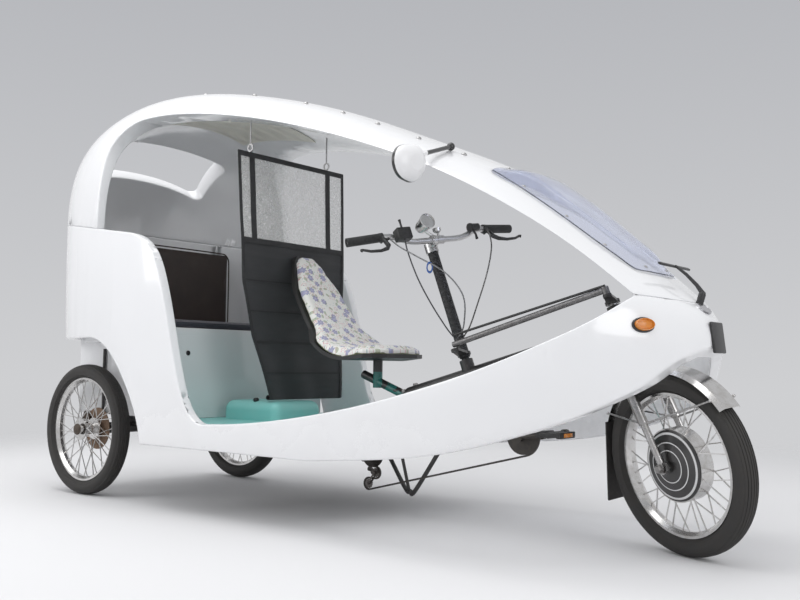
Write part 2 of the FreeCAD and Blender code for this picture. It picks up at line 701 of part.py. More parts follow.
def make_guards():
    axle = front_axle_straight()
    outer = GUARD_RADIUS
    width = GUARD_HALF_WIDTH
    ring = revolve_y([(-width, outer - 12), (-width + 12, outer), (width - 12, outer), (width, outer - 12),
                      (width - 2.5, outer - 12), (width - 13, outer - 2.5), (-width + 13, outer - 2.5),
                      (-width + 2.5, outer - 12)], axle)
    start = math.radians(40)
    end = math.radians(158)
    reach = 500.0
    wedge = [axle - Y_AXIS * 100]
    steps = 6
    for index in range(steps + 1):
        angle = start + (end - start) * index / steps
        wedge.append(axle - Y_AXIS * 100 + point(math.cos(angle), 0, math.sin(angle)) * reach)
    sector = Part.Face(Part.makePolygon(wedge + wedge[:1])).extrude(Y_AXIS * 200)
    guard = ring.common(sector)
    keep("front_mudguard", steered(guard, fork_base()))
    radial = point(math.cos(end), 0, math.sin(end))
    below = point(-math.sin(end), 0, math.cos(end)) * SEAT_GAP
    hang = point(-26, 0, -255)
    outside = axle + radial * outer + below - Y_AXIS * 40
    inside = axle + radial * (outer - 5) + below - Y_AXIS * 40
    flap = Part.Face(Part.makePolygon([outside, inside, inside + hang, outside + hang, outside]))
    keep("mud_flap", steered(flap.extrude(Y_AXIS * 80), fork_base()))


# Steering column, bar and drag link

def make_column():
    base = column_base()
    up = steer_axis()
    top = base + up * BAR_HEIGHT
    column = fuse([rod(base - up * 55, base + up * 10, STEERER_RADIUS), rod(base, top, COLUMN_RADIUS)])
    keep("steering_column", steered(column, base))
    arm_centre = base + up * 12
    keep("column_arm", steering_arm(arm_centre).cut(rod(base, top, COLUMN_RADIUS + SEAT_GAP)))

    lean = math.radians(STEER_LEAN)
    forward = point(math.cos(lean), 0, math.sin(lean))
    clamp = top + forward * BAR_REACH
    half = BAR_LENGTH / 2
    left = [clamp, clamp + Y_AXIS * 110, clamp + Y_AXIS * 175 + up * 30,
            clamp + Y_AXIS * half + up * 30 - forward * 25]
    bar_left = swept_tube(left, BAR_RADIUS)
    bar_right = mirrored(bar_left)
    sleeve = rod(clamp - Y_AXIS * BAR_SLEEVE_HALF, clamp + Y_AXIS * BAR_SLEEVE_HALF, BAR_RADIUS + 5)
    stem = fuse([rod(top - up * 30, top + up * 8, COLUMN_RADIUS + 5), rod(top - up * 10, clamp, 13), sleeve])
    handlebar = fuse([bar_left, bar_right, stem])
    keep("handlebar", steered(handlebar.cut(rod(base, top + up, COLUMN_RADIUS + SEAT_GAP)), base))
    grips = []
    direction = (left[3] - left[2]).normalize()
    start = left[3] - direction * 120
    for side in (1, -1):
        grip = pipe(start, left[3] + direction * 4, BAR_RADIUS + 5, BAR_RADIUS + SEAT_GAP)
        grips.append(grip if side > 0 else mirrored(grip))
    keep("grips", steered(Part.Compound(grips), base))


def make_drag_link():
    up = steer_axis()
    rear = arm_tip(column_base() + up * 12) + up * LINK_LIFT
    front_centre = fork_base() + up * (HEAD_TUBE_START + HEAD_TUBE_LENGTH + 14)
    front = arm_tip(front_centre) + up * LINK_LIFT
    drop = up * (LINK_LIFT - ARM_HALF_THICKNESS - SEAT_GAP)
    keep("drag_link", fuse([rod(rear, front, 10), rod(rear - drop, rear + up * 9, 12),
                            rod(front - drop, front + up * 9, 12)]))


# Pedal drive

def cog_radius(index):
    """Radius of a cog, counted from the inner and largest one."""
    return SMALLEST_COG_RADIUS + COG_STEP * (COG_COUNT - 1 - index)


def make_drive():
    ring_y = CHAIN_Y
    centre = point(CRANK_X, 0, CRANK_Z)
    ring = rod(centre + Y_AXIS * (ring_y - 2), centre + Y_AXIS * (ring_y + 2),
               CHAINRING_RADIUS - CHAIN_HALF_HEIGHT - SEAT_GAP)
    angle = math.radians(CRANK_ANGLE)
    reach = point(math.cos(angle), 0, math.sin(angle)) * CRANK_LENGTH
    parts = [ring]
    for side in (-1, 1):
        y = side * CRANK_ARM_Y
        hub_end = centre + Y_AXIS * y
        tip = hub_end - reach * side
        parts.append(rod(hub_end - Y_AXIS * 9, hub_end + Y_AXIS * 9, 15))
        parts.append(rod(tip - Y_AXIS * 9, tip + Y_AXIS * 9, 14))
        parts.append(rod(hub_end, tip, 7))
        parts.append(rod(tip, tip + Y_AXIS * (side * 100), 6))
    parts.append(rod(centre - Y_AXIS * CRANK_ARM_Y, centre + Y_AXIS * CRANK_ARM_Y, STUB_RADIUS))
    keep("crankset", fuse(parts))
    for side, name in ((-1, "right"), (1, "left")):
        tip = centre + Y_AXIS * (side * CRANK_ARM_Y) - reach * side
        body = block(tip + point(-45, 0, -10), tip + point(45, 95, 10))
        if side < 0:
            body = block(tip + point(-45, -95, -10), tip + point(45, 0, 10))
        body.translate(Y_AXIS * (side * 14))
        body = body.cut(rod(tip - Y_AXIS * 150, tip + Y_AXIS * 150, 6 + RUNNING_CLEARANCE))
        keep("pedal_" + name, body)

    lay = point(LAY_SHAFT_X, 0, LAY_SHAFT_Z)
    cluster = [rod(lay - Y_AXIS * 102, lay + Y_AXIS * 52, 8)]
    for index in range(COG_COUNT):
        y = ring_y + COG_SPACING * (CHAINED_COG - index)
        cluster.append(rod(lay + Y_AXIS * (y - 1.2), lay + Y_AXIS * (y + 1.2), cog_radius(index)))
    cluster.append(rod(lay - Y_AXIS * 88, lay + Y_AXIS * 38, 16))
    keep("gear_cluster", fuse(cluster))


def tangent_ends(first, second):
    """Where the straight run between two wheels leaves the first and meets the second."""
    (start_x, start_z, start_radius, start_sense) = first
    (end_x, end_z, end_radius, end_sense) = second
    distance = math.hypot(end_x - start_x, end_z - start_z)
    heading = math.atan2(end_z - start_z, end_x - start_x)
    heading -= math.asin((end_sense * end_radius - start_sense * start_radius) / distance)
    left_x = -math.sin(heading)
    left_z = math.cos(heading)
    leave = point(start_x - start_sense * start_radius * left_x, 0, start_z - start_sense * start_radius * left_z)
    meet = point(end_x - end_sense * end_radius * left_x, 0, end_z - end_sense * end_radius * left_z)
    return leave, meet


def chain_line(wheels):
    """Closed line round wheels given as x, z, radius and sense, 1 for anticlockwise."""
    count = len(wheels)
    runs = [tangent_ends(wheels[index], wheels[(index + 1) % count]) for index in range(count)]
    edges = []
    for index, (leave, meet) in enumerate(runs):
        edges.append(Part.makeLine(leave, meet))
        x, z, radius, sense = wheels[(index + 1) % count]
        next_leave = runs[(index + 1) % count][0]
        begin = math.atan2(meet.z - z, meet.x - x)
        sweep = (sense * (math.atan2(next_leave.z - z, next_leave.x - x) - begin)) % (2 * math.pi)
        middle = begin + sense * sweep / 2
        edges.append(Part.Arc(meet, point(x + radius * math.cos(middle), 0, z + radius * math.sin(middle)),
                              next_leave).toShape())
    return Part.Wire(edges)


def make_chain():
    cog_line = cog_radius(CHAINED_COG) + SEAT_GAP + CHAIN_HALF_HEIGHT
    pulley_line = PULLEY_RADIUS + SEAT_GAP + CHAIN_HALF_HEIGHT
    (guide_x, guide_z), (tension_x, tension_z) = PULLEYS
    line = chain_line([(CRANK_X, CRANK_Z, CHAINRING_RADIUS, 1), (LAY_SHAFT_X, LAY_SHAFT_Z, cog_line, 1),
                       (guide_x, guide_z, pulley_line, -1), (tension_x, tension_z, pulley_line, 1)])
    outside = line.makeOffset2D(CHAIN_HALF_HEIGHT)
    inside = line.makeOffset2D(-CHAIN_HALF_HEIGHT)
    band = Part.Face(outside).cut(Part.Face(inside)).extrude(Y_AXIS * (2 * CHAIN_HALF_WIDTH))
    band.translate(Y_AXIS * (CHAIN_Y - CHAIN_HALF_WIDTH))
    keep("drive_chain", band)


def make_mirror():
    """Teardrop mirror housing on an arm from the right side of the roof."""
    foot = point(1723, -0.349 * BODY_HALF_WIDTH, 1291.5)
    head = point(1752, -0.851 * BODY_HALF_WIDTH, 1180)
    outline = ((0.0, -56.0), (58.0, -30.0), (76.0, 22.0), (48.0, 60.0), (-8.0, 60.0), (-58.0, 36.0), (-70.0, -8.0),
               (-42.0, -46.0))
    rings = []
    for depth, scale in ((0.0, 1.0), (12.0, 1.0), (34.0, 0.72), (42.0, 0.4)):
        curve = Part.BSplineCurve()
        curve.interpolate([head + point(depth, y * scale, z * scale) for y, z in outline], PeriodicFlag=True)
        rings.append(Part.Wire(curve.toShape()))
    housing = Part.makeLoft(rings, True, False)
    arm = rod(foot, head + point(20, 30, 30), 7)
    keep("mirror", fuse([housing, arm, Part.makeSphere(14, foot)]))


def export():
    """Move the whole vehicle so its origin is the bottom centre of its box, then write it."""
    corners = []
    for shape in pieces.values():
        corners += shape.tessellate(1.0)[0]
    rear = min(corner.x for corner in corners)
    front = max(corner.x for corner in corners)
    shift = point(-(rear + front) / 2, 0, 0)
    print("length", round(front - rear, 1))
    print("width", round(min(c.y for c in corners), 1), round(max(c.y for c in corners), 1))
    print("height", round(min(c.z for c in corners), 1), round(max(c.z for c in corners), 1))
    print("shift", round(shift.x, 3))
    os.makedirs("parts", exist_ok=True)
    for name, shape in pieces.items():
        moved = shape.copy()
        moved.translate(shift)
        if not moved.isValid():
            print("not valid:", name)
        moved.exportStep("parts/" + name + ".step")
        print(name, len(moved.Solids), "solids", round(moved.Volume / 1000.0, 1), "cm3")


make_cabin()
make_passenger_space()
make_curtain()
make_frame()
make_rider_seat()
make_rear_wheels()
make_front_wheel()
make_fork()
make_guards()
make_column()
make_drag_link()
make_drive()
make_chain()
make_mirror()
export()
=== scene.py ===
import bpy
import bmesh
import json
import math
from mathutils import Matrix, Vector, noise
from mathutils.bvhtree import BVHTree


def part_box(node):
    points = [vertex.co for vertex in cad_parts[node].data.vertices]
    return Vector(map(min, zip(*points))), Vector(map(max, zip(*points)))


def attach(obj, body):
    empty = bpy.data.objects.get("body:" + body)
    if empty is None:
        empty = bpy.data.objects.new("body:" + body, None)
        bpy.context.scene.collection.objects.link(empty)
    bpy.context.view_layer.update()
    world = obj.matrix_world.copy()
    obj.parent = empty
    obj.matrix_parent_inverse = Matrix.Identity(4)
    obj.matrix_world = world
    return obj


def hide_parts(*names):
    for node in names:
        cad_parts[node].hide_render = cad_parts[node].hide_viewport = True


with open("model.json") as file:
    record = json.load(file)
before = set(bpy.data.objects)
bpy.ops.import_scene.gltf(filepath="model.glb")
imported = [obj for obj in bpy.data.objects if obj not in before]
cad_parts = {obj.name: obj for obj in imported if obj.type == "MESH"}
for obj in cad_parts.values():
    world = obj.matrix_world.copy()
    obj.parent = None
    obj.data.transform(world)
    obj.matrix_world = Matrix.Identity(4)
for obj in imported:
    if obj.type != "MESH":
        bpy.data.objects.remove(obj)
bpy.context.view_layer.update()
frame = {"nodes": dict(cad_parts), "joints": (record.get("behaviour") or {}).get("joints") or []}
nodes = frame["nodes"]

# Studio. A pale paper floor that fades out into a grey backdrop, which darkens upwards, and broad
# soft lamps overhead, at the side and at the front. The camera stands low at the rider's right.

def linked(name, data):
    """A new object in the scene."""
    piece = bpy.data.objects.new(name, data)
    bpy.context.scene.collection.objects.link(piece)
    return piece


camera_data = bpy.data.cameras.new("studio_camera")
camera = linked("studio_camera", camera_data)
camera_data.sensor_width = 36.0
camera_data.lens = 42.288
camera_data.clip_start = 0.05
camera.location = (2.4406, -2.7204, 0.5527)
camera.rotation_euler = [math.radians(angle) for angle in (94.019, -0.614, 38.987)]
bpy.context.scene.camera = camera


def add_lamp(name, place, aim, size, power):
    """A rectangular soft lamp at a place, aimed at a point."""
    lamp = bpy.data.lights.new(name, "AREA")
    lamp.shape = "RECTANGLE"
    lamp.size = size[0]
    lamp.size_y = size[1]
    lamp.energy = power
    holder = linked(name, lamp)
    holder.location = place
    holder.rotation_euler = (Vector(aim) - Vector(place)).to_track_quat("-Z", "Y").to_euler()


add_lamp("overhead_softbox", (-0.6, -0.8, 4.2), (-0.2, 0.0, 0.6), (4.6, 3.2), 108)
add_lamp("side_softbox", (-2.6, -4.2, 2.6), (-0.3, 0.0, 0.7), (2.6, 2.4), 58)
add_lamp("front_softbox", (4.2, -0.9, 1.9), (0.4, 0.0, 0.8), (1.8, 1.8), 30)


class Signal:
    """A number that varies over a surface. Python arithmetic on it adds the Math nodes."""

    def __init__(self, tree, socket):
        self.tree = tree
        self.socket = socket

    def math(self, operation, *others):
        """This number put through a Math node, with any other numbers on the node's further sockets."""
        node = self.tree.nodes.new("ShaderNodeMath")
        node.operation = operation
        for index, term in enumerate((self, *others)):
            if isinstance(term, Signal):
                self.tree.links.new(term.socket, node.inputs[index])
            else:
                node.inputs[index].default_value = term
        return Signal(self.tree, node.outputs[0])

    def axis(self, name):
        """One coordinate of a vector."""
        node = self.tree.nodes.new("ShaderNodeSeparateXYZ")
        self.tree.links.new(self.socket, node.inputs[0])
        return Signal(self.tree, node.outputs[name])

    def __add__(self, other):
        return self.math("ADD", other)

    def __sub__(self, other):
        return self.math("SUBTRACT", other)

    def __mul__(self, other):
        return self.math("MULTIPLY", other)

    def __truediv__(self, other):
        return self.math("DIVIDE", other)

    def __gt__(self, other):
        return self.math("GREATER_THAN", other)

    def __lt__(self, other):
        return self.math("LESS_THAN", other)

    def __abs__(self):
        return self.math("ABSOLUTE")

    __radd__ = __add__


class Finish:
    """A surface finish: a material with one Principled shader and the nodes that feed it."""

    def __init__(self, name, **settings):
        self.material = bpy.data.materials.new(name)
        self.material.use_nodes = True
        self.tree = self.material.node_tree
        self.shader = self.tree.nodes["Principled BSDF"]
        for socket, value in settings.items():
            self.shader.inputs[socket.replace("_", " ")].default_value = value

    def node(self, kind, settings=None, out=0, **values):
        """Adds a node, sets its settings first and then the values or links of its sockets."""
        made = self.tree.nodes.new("ShaderNode" + kind)
        for key, value in (settings or {}).items():
            setattr(made, key, value)
        for key, value in values.items():
            socket = made.inputs[int(key[1:])] if key[0] == "i" and key[1:].isdigit() else made.inputs[key]
            if isinstance(value, Signal):
                self.tree.links.new(value.socket, socket)
            else:
                socket.default_value = value
        return Signal(self.tree, made.outputs[out])

    def feed(self, socket, signal):
        self.tree.links.new(signal.socket, self.shader.inputs[socket])
        return self

    def place(self):
        """The place in the object's own space, in metres."""
        return self.node("TexCoord", out="Object")

    def grain(self, size, detail=2.0, place=None, roughness=0.5):
        """Cloudy noise whose blotches are about size metres across."""
        return self.node("TexNoise", Vector=place or self.place(), Scale=1.0 / size, Detail=detail,
                         Roughness=roughness)

    def blend(self, share, first, second):
        """Mixes two colours, or two colour signals, by a share."""
        made = self.tree.nodes.new("ShaderNodeMix")
        made.data_type = "RGBA"
        for index, value in ((0, share), (6, first), (7, second)):
            if isinstance(value, Signal):
                self.tree.links.new(value.socket, made.inputs[index])
            elif index == 0:
                made.inputs[index].default_value = value
            else:
                made.inputs[index].default_value = (*value, 1.0)
        return Signal(self.tree, made.outputs[2])

    def relief(self, height, depth, strength=1.0):
        """Bumps the surface by a height signal; depth is in metres."""
        bump = self.node("Bump", Height=height, Strength=strength, Distance=depth)
        return self.feed("Normal", bump)

    def height_axis(self, axis):
        """One coordinate of the object's own space."""
        return self.place().axis(axis)


bpy.ops.object.select_all(action="DESELECT")
bpy.ops.mesh.primitive_plane_add(size=24.0, location=(0.0, 0.0, 0.0))
floor = bpy.context.object
floor.name = "studio_floor"
paint = Finish("studio_paper", Base_Color=(0.74, 0.74, 0.75, 1.0), Roughness=0.75)
paint.relief(paint.grain(0.02), 0.0006, 0.3)
distance = paint.node("VectorMath", {"operation": "LENGTH"}, out="Value", Vector=paint.place())
fade = paint.node("MapRange", {"interpolation_type": "SMOOTHSTEP"}, Value=distance, **{
    "From Min": 2.4, "From Max": 5.0})
clear = paint.tree.nodes.new("ShaderNodeBsdfTransparent")
mixed = paint.tree.nodes.new("ShaderNodeMixShader")
paint.tree.links.new(fade.socket, mixed.inputs[0])
paint.tree.links.new(paint.shader.outputs[0], mixed.inputs[1])
paint.tree.links.new(clear.outputs[0], mixed.inputs[2])
paint.tree.links.new(mixed.outputs[0], paint.tree.nodes["Material Output"].inputs["Surface"])
floor.data.materials.append(paint.material)

sky = bpy.data.worlds.new("studio_air")
bpy.context.scene.world = sky
sky.use_nodes = True
sky_tree = sky.node_tree
backdrop = sky_tree.nodes["Background"]
backdrop.inputs["Color"].default_value = (0.80, 0.805, 0.82, 1.0)
backdrop.inputs["Strength"].default_value = 0.84
seen = sky_tree.nodes.new("ShaderNodeBackground")
direction = sky_tree.nodes.new("ShaderNodeTexCoord")
parts = sky_tree.nodes.new("ShaderNodeSeparateXYZ")
climb = sky_tree.nodes.new("ShaderNodeMapRange")
climb.inputs["From Min"].default_value = -0.02
climb.inputs["From Max"].default_value = 0.55
shade = sky_tree.nodes.new("ShaderNodeMix")
shade.data_type = "RGBA"
shade.inputs[6].default_value = (0.62, 0.625, 0.64, 1.0)
shade.inputs[7].default_value = (0.40, 0.41, 0.44, 1.0)
ray = sky_tree.nodes.new("ShaderNodeLightPath")
either = sky_tree.nodes.new("ShaderNodeMixShader")
for source, target in ((direction.outputs["Generated"], parts.inputs[0]),
                       (parts.outputs["Z"], climb.inputs["Value"]),
                       (climb.outputs[0], shade.inputs[0]),
                       (shade.outputs[2], seen.inputs["Color"]),
                       (ray.outputs["Is Camera Ray"], either.inputs[0]),
                       (backdrop.outputs[0], either.inputs[1]),
                       (seen.outputs[0], either.inputs[2]),
                       (either.outputs[0], sky_tree.nodes["World Output"].inputs["Surface"])):
    sky_tree.links.new(source, target)
bpy.context.scene.view_settings.view_transform = "Standard"


# Body shells. Two moulded halves of thick white plastic, glossy outside, joined along one
# sloping seam. Their edges are rounded as the mould leaves them. The surface has a faint ripple,
# and road dust has settled low down.

def pick(piece):
    """Leaves only one object selected, and active."""
    bpy.ops.object.select_all(action="DESELECT")
    piece.select_set(True)
    bpy.context.view_layer.objects.active = piece


def dress(name, finish):
    """Gives a carried-over rigid part its finish."""
    part = nodes[name]
    part.data.materials.clear()
    part.data.materials.append(finish.material)
    pick(part)
    bpy.ops.object.shade_smooth_by_angle(angle=math.radians(32))
    return part


def finish_piece(piece, name, finish, body, smooth=35.0):
    """Names a modelled piece, fixes its place in its mesh, gives it its finish and its body."""
    pick(piece)
    bpy.ops.object.transform_apply(location=True, rotation=True, scale=True)
    bpy.ops.object.shade_smooth_by_angle(angle=math.radians(smooth))
    piece.name = name
    piece.data.name = name
    piece.data.materials.clear()
    piece.data.materials.append(finish.material)
    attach(piece, body)
    return piece


def edit(piece, *steps):
    """Runs edit-mode steps on a piece with all of its mesh selected."""
    pick(piece)
    bpy.ops.object.mode_set(mode="EDIT")
    bpy.ops.mesh.select_all(action="SELECT")
    for step in steps:
        step()
    bpy.ops.object.mode_set(mode="OBJECT")
    return piece


def reshaped(piece, kind, **settings):
    """Adds one modifier to a piece and applies it."""
    pick(piece)
    change = piece.modifiers.new(kind.lower(), kind)
    for key, value in settings.items():
        setattr(change, key, value)
    bpy.ops.object.modifier_apply(modifier=change.name)
    return piece


def skin_tree(name):
    """Search tree over the surface of a carried-over part."""
    mesh = nodes[name].data
    corners = [vertex.co for vertex in mesh.vertices]
    return BVHTree.FromPolygons(corners, [face.vertices for face in mesh.polygons])


def softened(name, radius, finish):
    """A rigid part's mesh with its sharp edges rounded, standing for the part."""
    copy = linked(name + "_moulding", nodes[name].data.copy())
    edit(copy, lambda: bpy.ops.mesh.remove_doubles(threshold=0.0002),
         lambda: bpy.ops.mesh.dissolve_limited(angle_limit=math.radians(1.0)))
    reshaped(copy, "BEVEL", limit_method="ANGLE", angle_limit=math.radians(40), width=radius, segments=3,
             use_clamp_overlap=False)
    finish_piece(copy, name + "_moulding", finish, "cabin", 45.0)
    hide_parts(name)


shell_gloss = Finish("shell_gloss_white", Coat_Weight=0.5, Coat_Roughness=0.04)
ripple = shell_gloss.grain(0.11, 1.0)
pores = shell_gloss.grain(0.004, 1.0)
low_down = shell_gloss.node("MapRange", Value=shell_gloss.height_axis("Z"), **{
    "From Min": 0.24, "From Max": 0.55, "To Min": 1.0, "To Max": 0.0})
dust = shell_gloss.grain(0.16, 6.0) * low_down
shell_gloss.feed("Base Color", shell_gloss.blend(dust * 0.20, (0.81, 0.815, 0.83), (0.58, 0.56, 0.53)))
shell_gloss.feed("Roughness", 0.13 + dust * 0.35 + pores * 0.05)
shell_gloss.relief(ripple + pores * 0.06, 0.0022, 0.35)
for shell, radius in (("upper_shell", 0.006), ("lower_shell", 0.006), ("bench_base", 0.004)):
    softened(shell, radius, shell_gloss)


# Chassis. Welded steel tubes in satin black enamel: axle tube, two rails, cross tubes, the low
# beam that runs forward to the head tube, seat post and bearings. The beam keeps teal paint from
# an earlier coat beside the seat, and road dust has settled on it.

black_enamel = Finish("black_enamel", Roughness=0.34, Coat_Weight=0.25, Coat_Roughness=0.2)
dirt = black_enamel.grain(0.03, 6.0)
chips = black_enamel.grain(0.006, 3.0) > 0.68
beside_seat = black_enamel.height_axis("X")
beam_level = black_enamel.height_axis("Z")
old_coat = (beside_seat > 0.12) * (beside_seat < 0.27) * (beam_level > 0.43) * (beam_level < 0.53)
old_coat = old_coat * (black_enamel.grain(0.05, 4.0) > 0.47)
enamel_colour = black_enamel.blend(dirt * 0.5, (0.012, 0.012, 0.014), (0.060, 0.054, 0.048))
enamel_colour = black_enamel.blend(old_coat * 0.8, enamel_colour, (0.02, 0.17, 0.15))
black_enamel.feed("Base Color", black_enamel.blend(chips * 0.35, enamel_colour, (0.16, 0.13, 0.11)))
black_enamel.feed("Roughness", 0.26 + dirt * 0.35)
black_enamel.relief(dirt * 0.4 + black_enamel.grain(0.002, 1.0) * 0.3, 0.0006, 0.4)
for part in ("main_frame", "fork_arm", "column_arm"):
    dress(part, black_enamel)


# Beam bolts. Two hexagon bolts with washers on top of the beam in front of the seat, zinc plated
# and dull. They hold the seat bracket.

def turned(profile, steps=48):
    """A shape turned about its own Y axis from a closed profile of radius and width."""
    bpy.ops.object.select_all(action="DESELECT")
    bpy.ops.mesh.primitive_circle_add(vertices=len(profile), radius=1.0)
    piece = bpy.context.object
    for vertex, (radius, width) in zip(piece.data.vertices, profile):
        vertex.co = (radius, width, 0.0)
    return edit(
        piece,
        lambda: bpy.ops.mesh.spin(steps=steps, angle=2 * math.pi, center=(0, 0, 0), axis=(0, 1, 0)),
        lambda: bpy.ops.mesh.select_all(action="SELECT"),
        lambda: bpy.ops.mesh.remove_doubles(threshold=0.00002),
        lambda: bpy.ops.mesh.normals_make_consistent(inside=False))


def block(low, high, bevel=0.0, segments=2):
    """A box between two corners with its edges bevelled."""
    low, high = Vector(low), Vector(high)
    bpy.ops.object.select_all(action="DESELECT")
    bpy.ops.mesh.primitive_cube_add(size=1.0)
    piece = bpy.context.object
    piece.data.transform(Matrix.Translation((low + high) / 2) @ Matrix.Diagonal((*(high - low), 1.0)))
    if bevel:
        edit(piece, lambda: bpy.ops.mesh.bevel(offset=bevel, segments=segments, affect="EDGES"))
    return piece


def put(piece, place):
    """Moves a piece's mesh by a placing matrix."""
    piece.data.transform(place)
    return piece


def facing(centre, along, up=(0, 0, 1)):
    """Placing matrix that takes the local Y axis to a direction and the origin to a point."""
    side = Vector(along).normalized()
    top = Vector(up)
    top = (top - side * top.dot(side)).normalized()
    across = side.cross(top)
    turn = Matrix((across, side, top)).transposed().to_4x4()
    return Matrix.Translation(Vector(centre)) @ turn


def joined(pieces):
    """Several meshes as one."""
    bpy.ops.object.select_all(action="DESELECT")
    for piece in pieces:
        piece.select_set(True)
    bpy.context.view_layer.objects.active = pieces[0]
    bpy.ops.object.join()
    return pieces[0]


def hex_bolt(place, size=0.013, height=0.008):
    """A washer with a chamfered hexagon head on it, pointing along the local Y axis."""
    washer = turned([(size * 0.62, 0.0), (size * 0.62, 0.0015), (0.0, 0.0015), (0.0, 0.0)], 20)
    head = turned([(size * 0.5, 0.0015), (size * 0.5, height * 0.8), (size * 0.42, height), (0.0, height),
                   (0.0, 0.0015)], 6)
    return put(joined([washer, head]), place)


def worn(name, size, detail, clean, soiled, share=1.0, rough=None, relief=None, **settings):
    """A finish whose one cloudy grain drives its soiling, its roughness and its relief."""
    finish = Finish(name, **settings)
    wear = finish.grain(size, detail)
    finish.feed("Base Color", finish.blend(wear * share, clean, soiled))
    if rough:
        finish.feed("Roughness", rough[0] + wear * rough[1])
    if relief:
        finish.relief(wear, *relief)
    return finish


dull_zinc = worn("dull_zinc", 0.004, 5.0, (0.42, 0.42, 0.43), (0.24, 0.22, 0.20), rough=(0.34, 0.3),
                 Metallic=1.0)
frame_tree = skin_tree("main_frame")
beam_bolts = []
for x, y in ((0.268, -0.012), (0.306, 0.010)):
    spot = frame_tree.ray_cast(Vector((x, y, 0.56)), Vector((0, 0, -1)))[0]
    beam_bolts.append(hex_bolt(facing(spot - Vector((0, 0, 0.001)), (-0.2, 0, 1)), 0.018, 0.012))
finish_piece(joined(beam_bolts), "beam_bolts", dull_zinc, "cabin")


# Tyres. Black moped rubber on 16-inch rims, with five round grooves and short cross cuts in the
# tread, a ribbed bead line and a smooth sidewall that road dust has turned grey-brown.

tread_half = 0.0245
groove_half = 0.0011
groove_depth = 0.0032
tyre_crown = 0.273
tyre_lip = 0.2163

tyre_side = [(0.2094, 0.0156), (tyre_lip, 0.0156), (0.2205, 0.0205), (0.2262, 0.0300), (0.2275, 0.0322),
             (0.2290, 0.0326), (0.2410, 0.0366), (0.2470, 0.0368), (0.2560, 0.0345), (0.2605, 0.0312),
             (0.2632, 0.0275), (0.2665, 0.0262)]


def tread_radius(width):
    """Radius of the slightly crowned tread at a distance from its middle."""
    return tyre_crown - 0.0052 * (width / tread_half) ** 2


tread_line = [(tread_radius(tread_half), tread_half)]
floor_half = groove_half * 0.7
for groove in (0.0190, 0.0095, 0.0, -0.0095, -0.0190):
    for step, depth in ((groove_half, 0.0), (floor_half, groove_depth), (-floor_half, groove_depth),
                        (-groove_half, 0.0)):
        tread_line.append((tread_radius(groove) - depth, groove + step))
tread_line.append((tread_radius(tread_half), -tread_half))
tyre_profile = tyre_side + tread_line + [(radius, -width) for radius, width in reversed(tyre_side)]

rubber = Finish("tyre_rubber", Roughness=0.72)
wheel_map = rubber.node("UVMap")
turn_round = wheel_map.axis("X")
from_hub = wheel_map.axis("Y")
dusty = rubber.grain(0.022, 7.0)
on_wall = (from_hub > 0.218) * (from_hub < 0.262)
on_tread = from_hub > 0.2655
soiling = dusty * 0.75 * on_wall + dusty * 0.3
rubber.feed("Base Color", rubber.blend(soiling, (0.016, 0.016, 0.017), (0.105, 0.092, 0.075)))
rubber.feed("Roughness", 0.55 + dusty * 0.35)
cross_cuts = (turn_round * 190.0).math("SINE") > 0.86
wall_rings = (from_hub * 2600.0).math("SINE") * on_wall
rubber.relief(dusty * 0.25 - cross_cuts * on_tread * 1.2 + wall_rings * 0.12, 0.0016, 0.8)


def tyre(name, body, place):
    """A grooved tyre in place of the plain one, with a map of its turn and its distance from the hub."""
    piece = turned(tyre_profile, 96)
    chart = piece.data.uv_layers.new(name="UVMap")
    for polygon in piece.data.polygons:
        middle = math.atan2(polygon.center.z, polygon.center.x)
        for loop in polygon.loop_indices:
            corner = piece.data.vertices[piece.data.loops[loop].vertex_index].co
            angle = math.atan2(corner.z, corner.x)
            angle += 2 * math.pi * round((middle - angle) / (2 * math.pi))
            chart.data[loop].uv = (angle, math.hypot(corner.x, corner.z))
    finish_piece(put(piece, place), name + "_tread", rubber, body, 28.0)
    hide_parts(name)


def joint_named(name):
    """A joint's row in the frame."""
    return next(joint for joint in frame["joints"] if joint["name"] == name)


front_joint = joint_named("front_wheel_spin")
front_place = facing(front_joint["pos_m"], front_joint["axis"])
tyre("front_tyre", "front_wheel", front_place)
rear_places = {}
for side in ("right", "left"):
    rear_places[side] = facing(joint_named(f"rear_wheel_{side}_spin")["pos_m"], (0, 1, 0))
    tyre(f"rear_tyre_{side}", f"rear_wheel_{side}", rear_places[side])


# Wheels. Chromed steel rims laced to flanged hubs with plated spokes, and a chromed front guard.
# The chrome is bright with a thin film of dust. The rear brake discs are rusted brown.

chrome = Finish("wheel_chrome", Metallic=1.0)
film = chrome.grain(0.018, 6.0)
chrome.feed("Base Color", chrome.blend(film, (0.78, 0.78, 0.79), (0.45, 0.43, 0.40)))
chrome.feed("Roughness", 0.10 + film * 0.22)
chrome.relief(film * 0.3 + chrome.grain(0.0025, 2.0) * 0.2, 0.0003, 0.3)
for part in ("front_rim", "rear_wheel_right", "rear_wheel_left", "front_mudguard"):
    dress(part, chrome)

brown_rust = worn("disc_rust", 0.012, 8.0, (0.16, 0.075, 0.035), (0.34, 0.27, 0.21), rough=(0.42, 0.4),
                  relief=(0.0006, 0.5), Metallic=0.7)
for part in ("brake_disc_right", "brake_disc_left"):
    dress(part, brown_rust)


# Hub motor. A black enamelled alloy drum with three white pinstripe rings turned on its covers.

